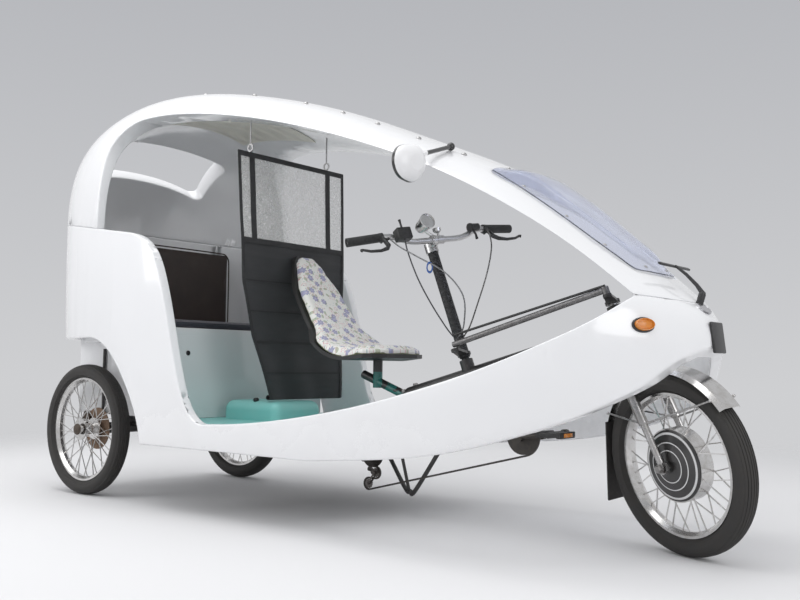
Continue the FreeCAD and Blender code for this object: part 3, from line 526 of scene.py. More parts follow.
motor_black = Finish("motor_enamel", Roughness=0.25, Coat_Weight=0.6, Coat_Roughness=0.06)
motor_local = motor_black.node("Mapping", {"vector_type": "TEXTURE"}, Vector=motor_black.place(),
                               Location=front_place.translation, Rotation=front_place.to_euler())
motor_x = motor_local.axis("X")
motor_z = motor_local.axis("Z")
motor_reach = (motor_x * motor_x + motor_z * motor_z).math("SQRT")
pinstripes = 0.0
for radius, half in ((0.0965, 0.0032), (0.0705, 0.0016), (0.0475, 0.0015)):
    pinstripes = (abs(motor_reach - radius) < half) + pinstripes
motor_dust = motor_black.grain(0.02, 6.0)
motor_colour = motor_black.blend(motor_dust * 0.35, (0.010, 0.010, 0.011), (0.075, 0.068, 0.06))
motor_black.feed("Base Color", motor_black.blend(pinstripes * 0.92, motor_colour, (0.72, 0.72, 0.72)))
motor_black.feed("Roughness", 0.18 + motor_dust * 0.3)
dress("hub_motor", motor_black)


# Fork. Chromed telescopic legs with polished alloy lower ends, clips, axle and guard stays.

fork_chrome = worn("fork_chrome", 0.02, 7.0, (0.62, 0.62, 0.63), (0.30, 0.28, 0.26), rough=(0.16, 0.25),
                   relief=(0.0004, 0.3), Metallic=1.0)
dress("fork", fork_chrome)

guard_rubber = worn("guard_rubber", 0.015, 7.0, (0.014, 0.014, 0.015), (0.07, 0.062, 0.055), share=0.6,
                    relief=(0.0008, 0.4), Roughness=0.7)
dress("mud_flap", guard_rubber)


# Steering. A black column wrapped in tape with the cables under it, a riser bar of bright
# aluminium tube in a cast stem, and ribbed rubber grips.

column_tape = Finish("column_tape", Roughness=0.5)
tape_turns = column_tape.height_axis("Z") * 330.0 + column_tape.height_axis("X") * 90.0
wrap = (tape_turns + column_tape.grain(0.03, 2.0) * 3.0).math("SINE")
creases = column_tape.grain(0.008, 5.0)
column_tape.feed("Base Color", column_tape.blend(creases * 0.4, (0.012, 0.012, 0.013), (0.05, 0.05, 0.052)))
column_tape.feed("Roughness", 0.38 + creases * 0.3)
column_tape.relief(wrap * 0.5 + creases, 0.0022, 0.8)
dress("steering_column", column_tape)

bar_alloy = Finish("bar_alloy", Metallic=1.0)
brushing = bar_alloy.grain(0.0015, 3.0)
handling = bar_alloy.grain(0.03, 4.0)
bar_alloy.feed("Base Color", bar_alloy.blend(handling, (0.66, 0.66, 0.67), (0.48, 0.47, 0.46)))
bar_alloy.feed("Roughness", 0.20 + brushing * 0.14 + handling * 0.1)
bar_alloy.relief(brushing, 0.0002, 0.3)
dress("handlebar", bar_alloy)

grip_rubber = worn("grip_rubber", 0.01, 5.0, (0.015, 0.015, 0.016), (0.045, 0.045, 0.046), Roughness=0.62)
grip_ribs = (grip_rubber.height_axis("Y") * 1500.0).math("SINE")
grip_rubber.relief(grip_ribs, 0.0009, 0.8)
dress("grips", grip_rubber)

rod_steel = worn("rod_steel", 0.01, 6.0, (0.30, 0.30, 0.30), (0.11, 0.10, 0.10), rough=(0.32, 0.3),
                 Metallic=1.0)
dress("drag_link", rod_steel)


# Pedal drive. Black alloy cranks and chainring, moulded black pedals, and a gear cluster and chain
# blackened with oil.

drive_black = worn("drive_black", 0.01, 6.0, (0.020, 0.020, 0.021), (0.075, 0.065, 0.055),
                   rough=(0.32, 0.35), relief=(0.0005, 0.4), Metallic=0.4)
for part in ("crankset", "gear_cluster", "drive_chain"):
    dress(part, drive_black)

pedal_plastic = worn("pedal_plastic", 0.006, 5.0, (0.014, 0.014, 0.015), (0.06, 0.058, 0.055), share=0.5,
                     relief=(0.0006, 0.5), Roughness=0.5)
for part in ("pedal_right", "pedal_left"):
    dress(part, pedal_plastic)


# Floor and drive hump. Painted aqua: the floor is a flat plate on the rails, and the hump is a
# moulded cover over the gears. Both are satin, with scuffs from shoes. Faces that point down are
# coloured dark grey as painted shade.

aqua = Finish("aqua_paint", Coat_Weight=0.2, Coat_Roughness=0.25)
scuffed = aqua.grain(0.05, 8.0)
# Painted shade: faces that point down get dark grey instead of aqua, so the shadow beneath the floor stays
# neutral.
painted_shade_underside = aqua.node("NewGeometry", out="Normal").axis("Z") < -0.5
top_coat = aqua.blend(scuffed * 0.55, (0.20, 0.60, 0.57), (0.36, 0.62, 0.58))
aqua.feed("Base Color", aqua.blend(painted_shade_underside, top_coat, (0.10, 0.10, 0.10)))
aqua.feed("Roughness", 0.30 + scuffed * 0.35)
aqua.relief(scuffed, 0.0006, 0.4)
for part in ("floor_panel", "drive_hump"):
    dress(part, aqua)


# Bench cushion and back pad. Foam under coated cloth: the cushion is blue-black with a welt round
# its top edge, the back pad is dark brown and smooth with rounded upper corners and a welt.

def swollen(piece, voxel, pressure, cap, floor=None):
    """Fills a closed form with air in the cloth solver and holds each point within a cap."""
    reshaped(piece, "REMESH", mode="VOXEL", voxel_size=voxel)
    before = [vertex.co.copy() for vertex in piece.data.vertices]
    air = piece.modifiers.new("air", "CLOTH")
    air.settings.quality = 4
    air.settings.use_pressure = True
    air.settings.uniform_pressure_force = pressure
    air.settings.effector_weights.gravity = 0.0
    air.settings.tension_stiffness = 25.0
    air.settings.compression_stiffness = 25.0
    air.settings.bending_stiffness = 1.5
    blowing_steps = 20
    air.point_cache.frame_end = blowing_steps
    for step in range(1, blowing_steps + 1):
        bpy.context.scene.frame_set(step)
    blown = piece.evaluated_get(bpy.context.evaluated_depsgraph_get()).data
    after = [vertex.co.copy() for vertex in blown.vertices]
    bpy.context.scene.frame_set(1)
    piece.modifiers.remove(air)
    for vertex, start, end in zip(piece.data.vertices, before, after):
        shift = end - start
        if shift.length > cap:
            shift *= cap / shift.length
        vertex.co = start + shift
        if floor is not None and vertex.co.z < floor:
            vertex.co.z = floor
    return reshaped(piece, "SUBSURF", levels=1, render_levels=1)


def welt(name, points, radius, finish, closed=True):
    """A sewn cord edge along a line."""
    line = bpy.data.curves.new(name, "CURVE")
    line.dimensions = "3D"
    line.bevel_depth = radius
    line.bevel_resolution = 3
    spline = line.splines.new("NURBS")
    spline.points.add(len(points) - 1)
    for spot, point in zip(spline.points, points):
        spot.co = (*point, 1.0)
    spline.order_u = 3
    spline.use_cyclic_u = closed
    spline.use_endpoint_u = not closed
    spline.resolution_u = 6
    pick(linked(name, line))
    bpy.ops.object.convert(target="MESH")
    return finish_piece(bpy.context.object, name, finish, "cabin", 60.0)


navy_cloth = worn("navy_cloth", 0.05, 5.0, (0.016, 0.015, 0.026), (0.040, 0.038, 0.055), Roughness=0.62,
                  Sheen_Weight=0.2)
navy_cloth.relief(navy_cloth.grain(0.0022, 2.0), 0.0008, 0.6)
brown_hide = worn("brown_coated_cloth", 0.09, 5.0, (0.022, 0.012, 0.010), (0.045, 0.028, 0.022),
                  Roughness=0.45)
brown_hide.feed("Roughness", 0.40 + brown_hide.grain(0.03, 4.0) * 0.2)
hide_grain = brown_hide.node("TexVoronoi", Vector=brown_hide.place(), Scale=520.0)
brown_hide.relief(hide_grain, 0.0005, 0.45)


def rounded_rectangle(low, high, corner, level, axis_order, steps=3):
    """Points round a rectangle with round corners, in the plane of the first two axes."""
    points = []
    spots = ((high[0] - corner, high[1] - corner, 0), (low[0] + corner, high[1] - corner, 90),
             (low[0] + corner, low[1] + corner, 180), (high[0] - corner, low[1] + corner, 270))
    for first, second, start in spots:
        for step in range(steps + 1):
            angle = math.radians(start + 90 * step / steps)
            values = (first + corner * math.cos(angle), second + corner * math.sin(angle), level)
            point = [0.0, 0.0, 0.0]
            for axis, value in zip(axis_order, values):
                point[axis] = value
            points.append(point)
    return points


cushion_low, cushion_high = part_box("bench_cushion")
cushion = block(cushion_low + Vector((0.004, 0.004, 0.0)), cushion_high - Vector((0.006, 0.004, 0.009)),
                0.010, 3)
swollen(cushion, 0.0075, 3.0, 0.009, cushion_low.z)
finish_piece(cushion, "bench_cushion_cover", navy_cloth, "cabin", 60.0)
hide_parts("bench_cushion")
cushion_edge = rounded_rectangle((cushion_low.x + 0.004, cushion_low.y + 0.004),
                                 (cushion_high.x - 0.006, cushion_high.y - 0.004), 0.030,
                                 cushion_high.z - 0.014, (0, 1, 2))
welt("bench_cushion_welt", cushion_edge, 0.0034, navy_cloth)

pad_low, pad_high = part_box("bench_back_pad")
back_pad = block(pad_low + Vector((0.006, 0.004, 0.002)), pad_high - Vector((0.010, 0.004, 0.004)), 0.012, 3)
swollen(back_pad, 0.0075, 3.0, 0.009)
finish_piece(back_pad, "back_pad_cover", brown_hide, "cabin", 60.0)
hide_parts("bench_back_pad")
pad_edge = rounded_rectangle((pad_low.y + 0.004, pad_low.z + 0.004), (pad_high.y - 0.004, pad_high.z - 0.004),
                             0.045, pad_high.x - 0.014, (1, 2, 0))
welt("back_pad_welt", pad_edge, 0.0032, brown_hide)


# Partition curtain. A black coated cloth panel hangs behind the rider's seat under a clear soft
# window. Black webbing binds all its edges, two straps run up the window to the hanging rings, and
# the lower edge is rolled round a stiffening rod.

panel_low, panel_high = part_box("curtain_fabric")
curtain_x = (panel_low.x + panel_high.x) / 2
curtain_base = panel_low.z
curtain_split = panel_high.z
curtain_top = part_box("curtain_window")[1].z
left_edge = ((curtain_base, -0.150), (0.663, -0.255), (0.876, -0.310), (curtain_split, -0.320),
             (curtain_top, -0.345))
right_edge = ((curtain_base, 0.258), (curtain_split, 0.262), (curtain_top, 0.250))


def edge_at(edge, height):
    """Sideways place of the curtain's edge at a height."""
    for (low, first), (high, second) in zip(edge[:-1], edge[1:]):
        if height <= high:
            return first + (second - first) * (height - low) / (high - low)
    return edge[-1][1]


def curtain_point(share, height, proud=0.0):
    """A point on the hanging curtain, with its soft folds."""
    left = edge_at(left_edge, height)
    right = edge_at(right_edge, height)
    drop = (curtain_top - height) / (curtain_top - curtain_base)
    fold = 0.0052 * drop * math.sin(share * 15.0 + height * 2.5) * (1.0 - share) ** 0.7
    fold += 0.0030 * noise.noise(Vector((share * 3.0, height * 4.0, 1.7)))
    buckle = 0.0022 * math.sin(height * 26.0 + share * 2.0) * drop
    return Vector((curtain_x + fold + buckle + proud, left + (right - left) * share, height))


def grid_piece(columns, rows, place):
    """A sheet of quads whose points come from a function of two shares from -1 to 1."""
    bpy.ops.object.select_all(action="DESELECT")
    bpy.ops.mesh.primitive_grid_add(x_subdivisions=columns, y_subdivisions=rows, size=2.0)
    piece = bpy.context.object
    for vertex in piece.data.vertices:
        vertex.co = place(vertex.co.x, vertex.co.y)
    return piece


def cloth_panel(name, low, high, finish, thickness):
    """A hanging panel between two heights, as a grid with a thin wall."""
    piece = grid_piece(56, 48, lambda u, v: curtain_point((u + 1) / 2, low + (high - low) * (v + 1) / 2))
    reshaped(piece, "SOLIDIFY", thickness=thickness, offset=0.0)
    return finish_piece(piece, name, finish, "cabin", 60.0)


curtain_cloth = worn("curtain_cloth", 0.06, 6.0, (0.010, 0.010, 0.012), (0.040, 0.040, 0.044), share=0.6,
                     rough=(0.42, 0.35), Roughness=0.55, Sheen_Weight=0.15)
thread = curtain_cloth.node("TexWave", {"bands_direction": "Z"}, Vector=curtain_cloth.place(), Scale=160.0)
weft = curtain_cloth.node("TexWave", {"bands_direction": "Y"}, Vector=curtain_cloth.place(), Scale=160.0)
stretched = curtain_cloth.node("Mapping", Vector=curtain_cloth.place(), Scale=(1.0, 2.2, 16.0))
hanging_creases = curtain_cloth.grain(1.0, 2.0, place=stretched)
curtain_cloth.relief(thread * 0.02 + weft * 0.02 + hanging_creases, 0.030, 0.55)

webbing = worn("black_webbing", 0.02, 5.0, (0.008, 0.008, 0.009), (0.030, 0.030, 0.032), Roughness=0.6)
webbing_ribs = webbing.node("TexWave", {"bands_direction": "Y"}, Vector=webbing.place(), Scale=130.0)
webbing.relief(webbing_ribs, 0.0006, 0.6)

clear_vinyl = Finish("clear_vinyl", Roughness=0.22, Specular_IOR_Level=0.6)
vinyl_haze = clear_vinyl.grain(0.045, 8.0, roughness=0.65)
scratches = clear_vinyl.grain(0.006, 6.0)
clear_vinyl.feed("Base Color", clear_vinyl.blend(vinyl_haze, (0.62, 0.61, 0.58), (0.86, 0.86, 0.85)))
clear_vinyl.feed("Alpha", 0.16 + vinyl_haze * 0.34 + (scratches > 0.60) * 0.12)
clear_vinyl.feed("Roughness", 0.12 + scratches * 0.3)
clear_vinyl.relief(vinyl_haze + scratches * 0.2, 0.0016, 0.5)

panel = cloth_panel("curtain_panel", curtain_base + 0.002, curtain_split, curtain_cloth, 0.0018)
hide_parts("curtain_fabric")
window = cloth_panel("curtain_vinyl", curtain_split, curtain_top - 0.002, clear_vinyl, 0.0008)
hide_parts("curtain_window")


def band(name, points, full_width, finish):
    """A flat webbing strip along points, each given with its sideways direction."""
    corners = []
    faces = []
    for spot, side in points:
        side = Vector(side).normalized() * full_width / 2
        corners += [tuple(spot - side), tuple(spot + side)]
    for first in range(0, 2 * len(points) - 2, 2):
        faces.append((first, first + 1, first + 3, first + 2))
    mesh = bpy.data.meshes.new(name)
    mesh.from_pydata(corners, [], faces)
    strip = linked(name, mesh)
    reshaped(strip, "SOLIDIFY", thickness=0.0022, offset=0.0)
    return finish_piece(strip, name, finish, "cabin", 60.0)


webbing_proud = 0.0025
webbing_steps = 30


def upright_line(share, low, high):
    """Points up the curtain's outer face at one share of its width."""
    heights = [low + (high - low) * step / webbing_steps for step in range(webbing_steps + 1)]
    return [(curtain_point(share, height, webbing_proud), (0, 1, 0)) for height in heights]


def level_line(height):
    """Points across the curtain's outer face at one height."""
    shares = [step / webbing_steps for step in range(webbing_steps + 1)]
    return [(curtain_point(share, height, webbing_proud), (0, 0, 1)) for share in shares]


hem_high = curtain_top - 0.004
edge_bands = []
for share, low, width in ((0.010, curtain_base + 0.004, 0.014), (0.990, curtain_base + 0.004, 0.014),
                          (0.120, curtain_split, 0.026), (0.835, curtain_split, 0.026)):
    edge_bands.append(band("edge", upright_line(share, low, hem_high), width, webbing))
for height, width in ((curtain_top - 0.011, 0.020), (curtain_split - 0.006, 0.022), (0.640, 0.010),
                      (0.760, 0.006), (0.880, 0.006), (0.520, 0.006)):
    edge_bands.append(band("edge", level_line(height), width, webbing))
finish_piece(joined(edge_bands), "curtain_webbing", webbing, "cabin", 60.0)

roll_line = [curtain_point(share / 8, curtain_base + 0.011, -0.011) for share in range(9)]
roll = welt("curtain_roll", roll_line, 0.0105, curtain_cloth, closed=False)

hook_steel = worn("hook_steel", 0.004, 4.0, (0.55, 0.55, 0.56), (0.25, 0.24, 0.23), rough=(0.22, 0.25),
                  Metallic=1.0)
dress("curtain_hangers", hook_steel)


# Rider's seat. A black moulded bucket carries a thin padded cover of printed cotton. The print is
# a scatter of blue-violet flowers, pink outlined blossoms, sage leaves and small teal dots.

bucket_black = worn("bucket_black", 0.03, 5.0, (0.010, 0.010, 0.011), (0.036, 0.035, 0.034),
                    Roughness=0.5)
bucket_black.relief(bucket_black.grain(0.0018, 2.0), 0.0005, 0.6)
dress("rider_seat", bucket_black)

seat_line = ((0.2492, 0.622), (0.1912, 0.620), (0.1012, 0.612), (0.0012, 0.640), (-0.0788, 0.720),
             (-0.1768, 0.860), (-0.2468, 1.000))

printed = Finish("printed_cotton", Roughness=0.8, Sheen_Weight=0.25)
cloth_map = printed.node("UVMap")


def scatter(spacing, jitter, offset):
    """Place within its cell, and two chance numbers, for each motif scattered over the cloth's map."""
    shifted = printed.node("VectorMath", {"operation": "ADD"}, i0=cloth_map, i1=offset)
    settings = {"voronoi_dimensions": "2D"}
    values = {"Vector": shifted, "Scale": 1.0 / spacing, "Randomness": jitter}
    spot = printed.node("TexVoronoi", settings, out="Position", **values)
    tint = printed.node("TexVoronoi", settings, out="Color", **values)
    apart = printed.node("VectorMath", {"operation": "SUBTRACT"}, i0=shifted, i1=spot)
    across = apart.axis("X")
    along = apart.axis("Y")
    reach = (across * across + along * along).math("SQRT")
    angle = along.math("ARCTAN2", across)
    return across, along, reach, angle, tint.axis("X"), tint.axis("Y")


def petals(angle, count, phase):
    """A wave round a motif, with one crest for each petal."""
    return (angle * count + phase).math("COSINE")


ground = printed.blend(printed.grain(0.04, 4.0) * 0.25, (0.86, 0.86, 0.82), (0.74, 0.74, 0.69))
across, along, reach, angle, luck, other = scatter(0.034, 0.9, (0.31, 0.17, 0.0))
leaf_turn = luck * 6.28
leaf_cos = leaf_turn.math("COSINE")
leaf_sin = leaf_turn.math("SINE")
leaf_long = across * leaf_cos + along * leaf_sin
leaf_wide = along * leaf_cos - across * leaf_sin
leaf = leaf_long * leaf_long / 0.000100 + leaf_wide * leaf_wide / 0.000030 < 1.0
ground = printed.blend(leaf * (other > 0.25) * 0.7, ground, (0.36, 0.42, 0.26))
across, along, reach, angle, luck, other = scatter(0.026, 1.0, (0.73, 0.41, 0.0))
ring_size = 0.0072 + luck * 0.0030
blossom = reach - ring_size * (0.85 + petals(angle, 5.0, luck * 6.0) * 0.22)
ground = printed.blend((abs(blossom) < 0.0007) * (other > 0.25) * 0.9, ground, (0.62, 0.25, 0.30))
across, along, reach, angle, luck, other = scatter(0.016, 1.0, (0.11, 0.93, 0.0))
ground = printed.blend((reach < 0.0014) * (luck > 0.45) * 0.9, ground, (0.08, 0.28, 0.32))
across, along, reach, angle, luck, other = scatter(0.052, 0.8, (0.55, 0.29, 0.0))
flower_size = 0.0125 + luck * 0.0050
flower = reach < flower_size * (0.82 + petals(angle, 7.0, luck * 6.0) * 0.18)
ground = printed.blend(flower * 0.75, ground, (0.22, 0.23, 0.44))
ground = printed.blend((reach < flower_size * 0.45) * 0.8, ground, (0.42, 0.42, 0.62))
ground = printed.blend((reach < 0.0018) * 0.9, ground, (0.75, 0.72, 0.55))
lining = printed.node("NewGeometry", out="Normal").axis("Z") < -0.15
printed.feed("Base Color", printed.blend(lining, ground, (0.20, 0.22, 0.12)))
cotton_weave = printed.grain(0.0016, 2.0)
wrinkles = printed.grain(0.035, 4.0)
printed.relief(cotton_weave * 0.3 + wrinkles, 0.0022, 0.5)

seat_cover = linked("seat_cover_form", nodes["rider_seat_cover"].data.copy())
edit(seat_cover, lambda: bpy.ops.mesh.remove_doubles(threshold=0.0002))
reshaped(seat_cover, "DISPLACE", strength=-0.002, mid_level=0.0)
swollen(seat_cover, 0.006, 3.5, 0.010)
reshaped(seat_cover, "SMOOTH", factor=0.6, iterations=8)


def cloth_spot(corner):
    """Distance along the seat's line to the place on it nearest a point."""
    best = (1e9, 0.0)
    gone = 0.0
    for (x0, z0), (x1, z1) in zip(seat_line[:-1], seat_line[1:]):
        span = math.hypot(x1 - x0, z1 - z0)
        share = ((corner.x - x0) * (x1 - x0) + (corner.z - z0) * (z1 - z0)) / span ** 2
        share = min(1.0, max(0.0, share))
        gap = math.hypot(corner.x - x0 - share * (x1 - x0), corner.z - z0 - share * (z1 - z0))
        best = min(best, (gap, gone + share * span))
        gone += span
    return best[1]


cover_map = seat_cover.data.uv_layers.new(name="UVMap")
spots = [(cloth_spot(vertex.co), vertex.co.y) for vertex in seat_cover.data.vertices]
for loop in seat_cover.data.loops:
    cover_map.data[loop.index].uv = spots[loop.vertex_index]
finish_piece(seat_cover, "seat_cover_cloth", printed, "cabin", 60.0)
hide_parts("rider_seat_cover")


# Windscreen. A blown pane of tinted acrylic that bulges out of the nose and laps over the edge of
# its opening, held by a row of dome-headed screws.

tinted_pane = Finish("tinted_acrylic", Base_Color=(0.80, 0.83, 0.95, 1.0), Transmission_Weight=0.94, IOR=1.2)
pane_haze = tinted_pane.grain(0.08, 4.0)
tinted_pane.feed("Roughness", 0.04 + pane_haze * 0.05)
tinted_pane.relief(pane_haze, 0.0006, 0.2)

pane_back = 0.762
pane_front = 1.265
pane_back_half = 0.246
pane_front_half = 0.159
pane_bulge = 0.024
pane_depth = 0.0095
shell_tree = skin_tree("upper_shell")
screen_tree = skin_tree("windscreen")


def roof_height(x, y, side=1.0):
    """Height of the cabin's skin over a point: outside from above, or inside from below."""
    for spread in (1.0, 1.01, 1.02, 1.04, 1.07):
        start = Vector((1.0 + (x - 1.0) * spread, y * spread, 2.1 if side > 0 else 1.25))
        spot = shell_tree.ray_cast(start, Vector((0, 0, -side)))[0]
        pane_spot = screen_tree.ray_cast(start, Vector((0, 0, -side)))[0]
        if side > 0 and pane_spot and (not spot or pane_spot.z > spot.z):
            return pane_spot.z + pane_depth
        if spot:
            return spot.z
    return 0.0


def ease(distance, width):
    """Smooth rise from 0 to 1 over a width."""
    share = min(1.0, max(0.0, distance / width))
    return share * share * (3.0 - 2.0 * share)


def pane_point(u, v):
    """A point of the pane, laid on the shell and raised towards its middle."""
    pulled = 0.30
    along = u * (1.0 - pulled * (1.0 - math.sqrt(1.0 - v * v / 2)))
    across = v * (1.0 - pulled * (1.0 - math.sqrt(1.0 - u * u / 2)))
    x = pane_back + (pane_front - pane_back) * (along + 1.0) / 2
    half = pane_back_half + (pane_front_half - pane_back_half) * (along + 1.0) / 2
    y = half * across
    height = roof_height(x, y) + 0.0012
    rise = pane_bulge * ease(1.0 - abs(u), 0.34) * ease(1.0 - abs(v), 0.42)
    return (x + rise * 0.4, y, height + rise)


pane = grid_piece(36, 26, pane_point)
reshaped(pane, "SMOOTH", factor=0.5, iterations=3)
reshaped(pane, "SOLIDIFY", thickness=0.004, offset=1.0)
finish_piece(pane, "windscreen_pane", tinted_pane, "cabin", 50.0)
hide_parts("windscreen")

screw_steel = worn("screw_steel", 0.003, 3.0, (0.55, 0.55, 0.56), (0.28, 0.27, 0.26), rough=(0.25, 0.25),
                   Metallic=1.0)


def dome_screw(place, radius):
    """A low dome head with a rim, pointing along the local Y axis."""
    rim = radius * 1.15
    profile = [(rim, 0.0), (rim, radius * 0.15), (radius, radius * 0.2), (radius * 0.85, radius * 0.5),
               (radius * 0.5, radius * 0.72), (0.0, radius * 0.8), (0.0, 0.0)]
    return put(turned(profile, 20), place)


def skin_place(x, y):
    """Placing matrix on the cabin's outer skin, with the local Y axis outwards."""
    step = 0.01
    height = roof_height(x, y)
    slope_x = (roof_height(x + step, y) - height) / step
    slope_y = (roof_height(x, y + step) - height) / step
    outward = Vector((-slope_x, -slope_y, 1.0)).normalized()
    return facing((x, y, height), outward, (1, 0, 0))


screws = []
for u, v in ((-0.93, 0.5), (0.93, 0.5), (-0.5, 0.93), (0.1, 0.93), (0.6, 0.93)):
    for side in (-1, 1):
        x, y, height = pane_point(u, side * v)
        screws.append(dome_screw(facing((x, y, height + 0.004), (0.42, 0.0, 0.9), (0, 1, 0)), 0.006))
for x in (-0.72, -0.409, -0.112, 0.084, 0.256, 0.446, 0.640):
    for side in (-1, 1):
        screws.append(dome_screw(skin_place(x, side * 0.165), 0.009))
finish_piece(joined(screws), "shell_screws", screw_steel, "cabin")


# Ceiling panel. A shallow cream plastic panel under the roof with pressed ribs across it.

cream_panel = worn("cream_plastic", 0.07, 4.0, (0.80, 0.78, 0.70), (0.68, 0.66, 0.59), Roughness=0.45)
cream_panel.relief(cream_panel.grain(0.002, 2.0), 0.0004, 0.5)


def ceiling_point(u, v):
    """A point of the panel, just under the shell, with ribs that fade out towards its edges."""
    x = -0.68 + 0.24 * u
    y = -0.015 + 0.245 * v
    rib = 0.006 * ease(math.cos(u * 16.0), 0.8) * ease(1.0 - abs(v), 0.25) * ease(1.0 - abs(u), 0.15)
    return (x, y, roof_height(x, y, -1.0) - 0.003 - rib)


ceiling = grid_piece(60, 24, ceiling_point)
reshaped(ceiling, "SOLIDIFY", thickness=0.003, offset=0.0)
finish_piece(ceiling, "ceiling_panel", cream_panel, "cabin", 50.0)


# Nose fittings. A bare black plate under a bare oval badge plate, an amber side lamp on each
# cheek in a black base, and a short wiper whose arm rises over the seam.

nose_black = worn("nose_black_plastic", 0.01, 4.0, (0.012, 0.012, 0.013), (0.04, 0.04, 0.042),
                  relief=(0.0005, 0.5), Roughness=0.4)
plate_place = facing((1.4325, 0.0, 0.645), (0.97, 0.0, 0.12))
nose_plate = put(block((-0.044, -0.004, -0.046), (0.044, 0.005, 0.046), 0.004, 3), plate_place)
finish_piece(nose_plate, "nose_plate", nose_black, "cabin")

badge_metal = worn("badge_metal", 0.0012, 2.0, (0.62, 0.62, 0.64), (0.45, 0.45, 0.47), rough=(0.25, 0.2),
                   Metallic=1.0)


def oval_plate(width, height, thickness):
    """An oval plate with a raised rim and a slightly domed middle, facing the local Y axis."""
    disc = turned([(1.0, 0.0), (1.0, 0.8), (0.94, 1.0), (0.86, 1.0), (0.80, 0.7), (0.40, 0.85), (0.0, 0.9),
                   (0.0, 0.0)], 48)
    disc.data.transform(Matrix.Diagonal((width / 2, thickness, height / 2, 1.0)))
    return disc


badge = put(oval_plate(0.072, 0.044, 0.006), facing((1.3925, 0.0, 0.7300), (0.72, 0.0, 0.69)))
finish_piece(badge, "nose_badge_plate", badge_metal, "cabin")

amber_lens = Finish("amber_lens", Base_Color=(0.85, 0.28, 0.02, 1.0), Transmission_Weight=0.25,
                    Coat_Weight=0.6)
lens_flutes = amber_lens.node("TexWave", {"bands_direction": "Z"}, Vector=amber_lens.place(), Scale=90.0)
amber_lens.feed("Roughness", 0.15 + lens_flutes * 0.1)
amber_lens.relief(lens_flutes, 0.0008, 0.6)
for side, name in ((-1, "right"), (1, "left")):
    spot = Vector((1.3223, side * 0.2672, 0.6737))
    outward = Vector((0.84, side * 0.51, 0.17)).normalized()
    base = put(oval_plate(0.072, 0.044, 0.010), facing(spot - outward * 0.004, outward))
    finish_piece(base, f"side_lamp_base_{name}", nose_black, "cabin")
    lens = put(oval_plate(0.062, 0.035, 0.016), facing(spot, outward))
    finish_piece(lens, f"side_lamp_lens_{name}", amber_lens, "cabin")


def tapered_bar(points, radii, sides=12):
    """A closed bar of round section through points, with a radius at each."""
    stations = [Vector(point) for point in points]
    mesh = bmesh.new()
    rings = []
    for index, station in enumerate(stations):
        ahead = stations[min(index + 1, len(stations) - 1)] - stations[max(index - 1, 0)]
        turn = ahead.to_track_quat("Z", "Y").to_matrix().to_4x4()
        ring = []
        for side in range(sides):
            angle = 2 * math.pi * side / sides
            local = Vector((math.cos(angle) * radii[index], math.sin(angle) * radii[index], 0.0))
            ring.append(mesh.verts.new(station + turn @ local))
        rings.append(ring)
    for first, second in zip(rings[:-1], rings[1:]):
        for side in range(sides):
            mesh.faces.new((first[side], first[(side + 1) % sides], second[(side + 1) % sides], second[side]))
    mesh.faces.new(list(reversed(rings[0])))
    mesh.faces.new(rings[-1])
    data = bpy.data.meshes.new("bar")
    mesh.to_mesh(data)
    mesh.free()
    return linked("bar", data)


pivot = tapered_bar([(1.378, 0.0, 0.742), (1.388, 0.0, 0.774), (1.392, 0.0, 0.782)], [0.011, 0.011, 0.007])
wiper_arm = tapered_bar([(1.390, 0.0, 0.776), (1.372, 0.0, 0.802), (1.340, 0.0, 0.836), (1.306, 0.0, 0.864)],
                        [0.008, 0.006, 0.005, 0.004])
blade = put(block((-0.11, -0.003, -0.006), (0.11, 0.004, 0.006), 0.002, 2),
            facing((1.303, 0.0, 0.862), (0.5, 0.0, 0.85)))
finish_piece(joined([pivot, wiper_arm, blade]), "nose_wiper", nose_black, "cabin")


# Mirror. A white plastic shell with a black rim and arm on the right of the roof.

mirror_shell = Finish("mirror_plastic", Roughness=0.3, Coat_Weight=0.2)
faces_ahead = mirror_shell.node("NewGeometry", out="Normal").axis("X")
below_arm = mirror_shell.height_axis("Z") < 1.245
on_housing = mirror_shell.height_axis("Y") < -0.375
mirror_dust = mirror_shell.grain(0.02, 5.0)
mirror_black = mirror_shell.blend(mirror_dust, (0.012, 0.012, 0.013), (0.035, 0.035, 0.036))
white_back = (faces_ahead > 0.22) * below_arm * on_housing
mirror_shell.feed("Base Color", mirror_shell.blend(white_back, mirror_black, (0.80, 0.80, 0.81)))
mirror_shell.relief(mirror_dust, 0.0003, 0.3)
dress("mirror", mirror_shell)


# Bar controls. Black brake levers on split clamps, a shifter pod beside the left grip, a control
# box beside the right one and a chromed lamp with a bell in the middle.

control_black = worn("control_black", 0.006, 5.0, (0.012, 0.012, 0.013), (0.055, 0.054, 0.053),
                     rough=(0.32, 0.3), relief=(0.0004, 0.4), Roughness=0.42)

column_foot = Vector((0.533178, 0.0, 0.585))
bar_ahead = Vector((0.93358, 0.0, 0.35837))
bar_up = Vector((-0.35837, 0.0, 0.93358))
parked = Matrix.Rotation(math.radians(-24.5), 4, bar_up)


def bar_point(ahead, aside, rise):
    """A point given from the bar's clamp along its ahead, left and up directions, as parked."""
    straight = bar_up * (0.435 + rise) + bar_ahead * (0.052 + ahead) + Vector((0.0, aside, 0.0))
    return column_foot + parked @ straight


def bar_way(ahead, aside, rise):
    """A direction given along the bar's ahead, left and up directions, as parked."""
    return bar_point(ahead, aside, rise) - bar_point(0.0, 0.0, 0.0)


def smooth_line(points, steps=7):
    """Evenly curved line through points."""
    known = [Vector(point) for point in points]
    known = [known[0] * 2 - known[1]] + known + [known[-1] * 2 - known[-2]]
    line = []
    for index in range(1, len(known) - 2):
        before, start, end, after = known[index - 1:index + 3]
        for step in range(steps):
            t = step / steps
            bent = 2 * start + (end - before) * t + (2 * before - 5 * start + 4 * end - after) * t ** 2
            line.append(0.5 * (bent + (3 * start - before - 3 * end + after) * t ** 3))
    return line + [known[-2]]


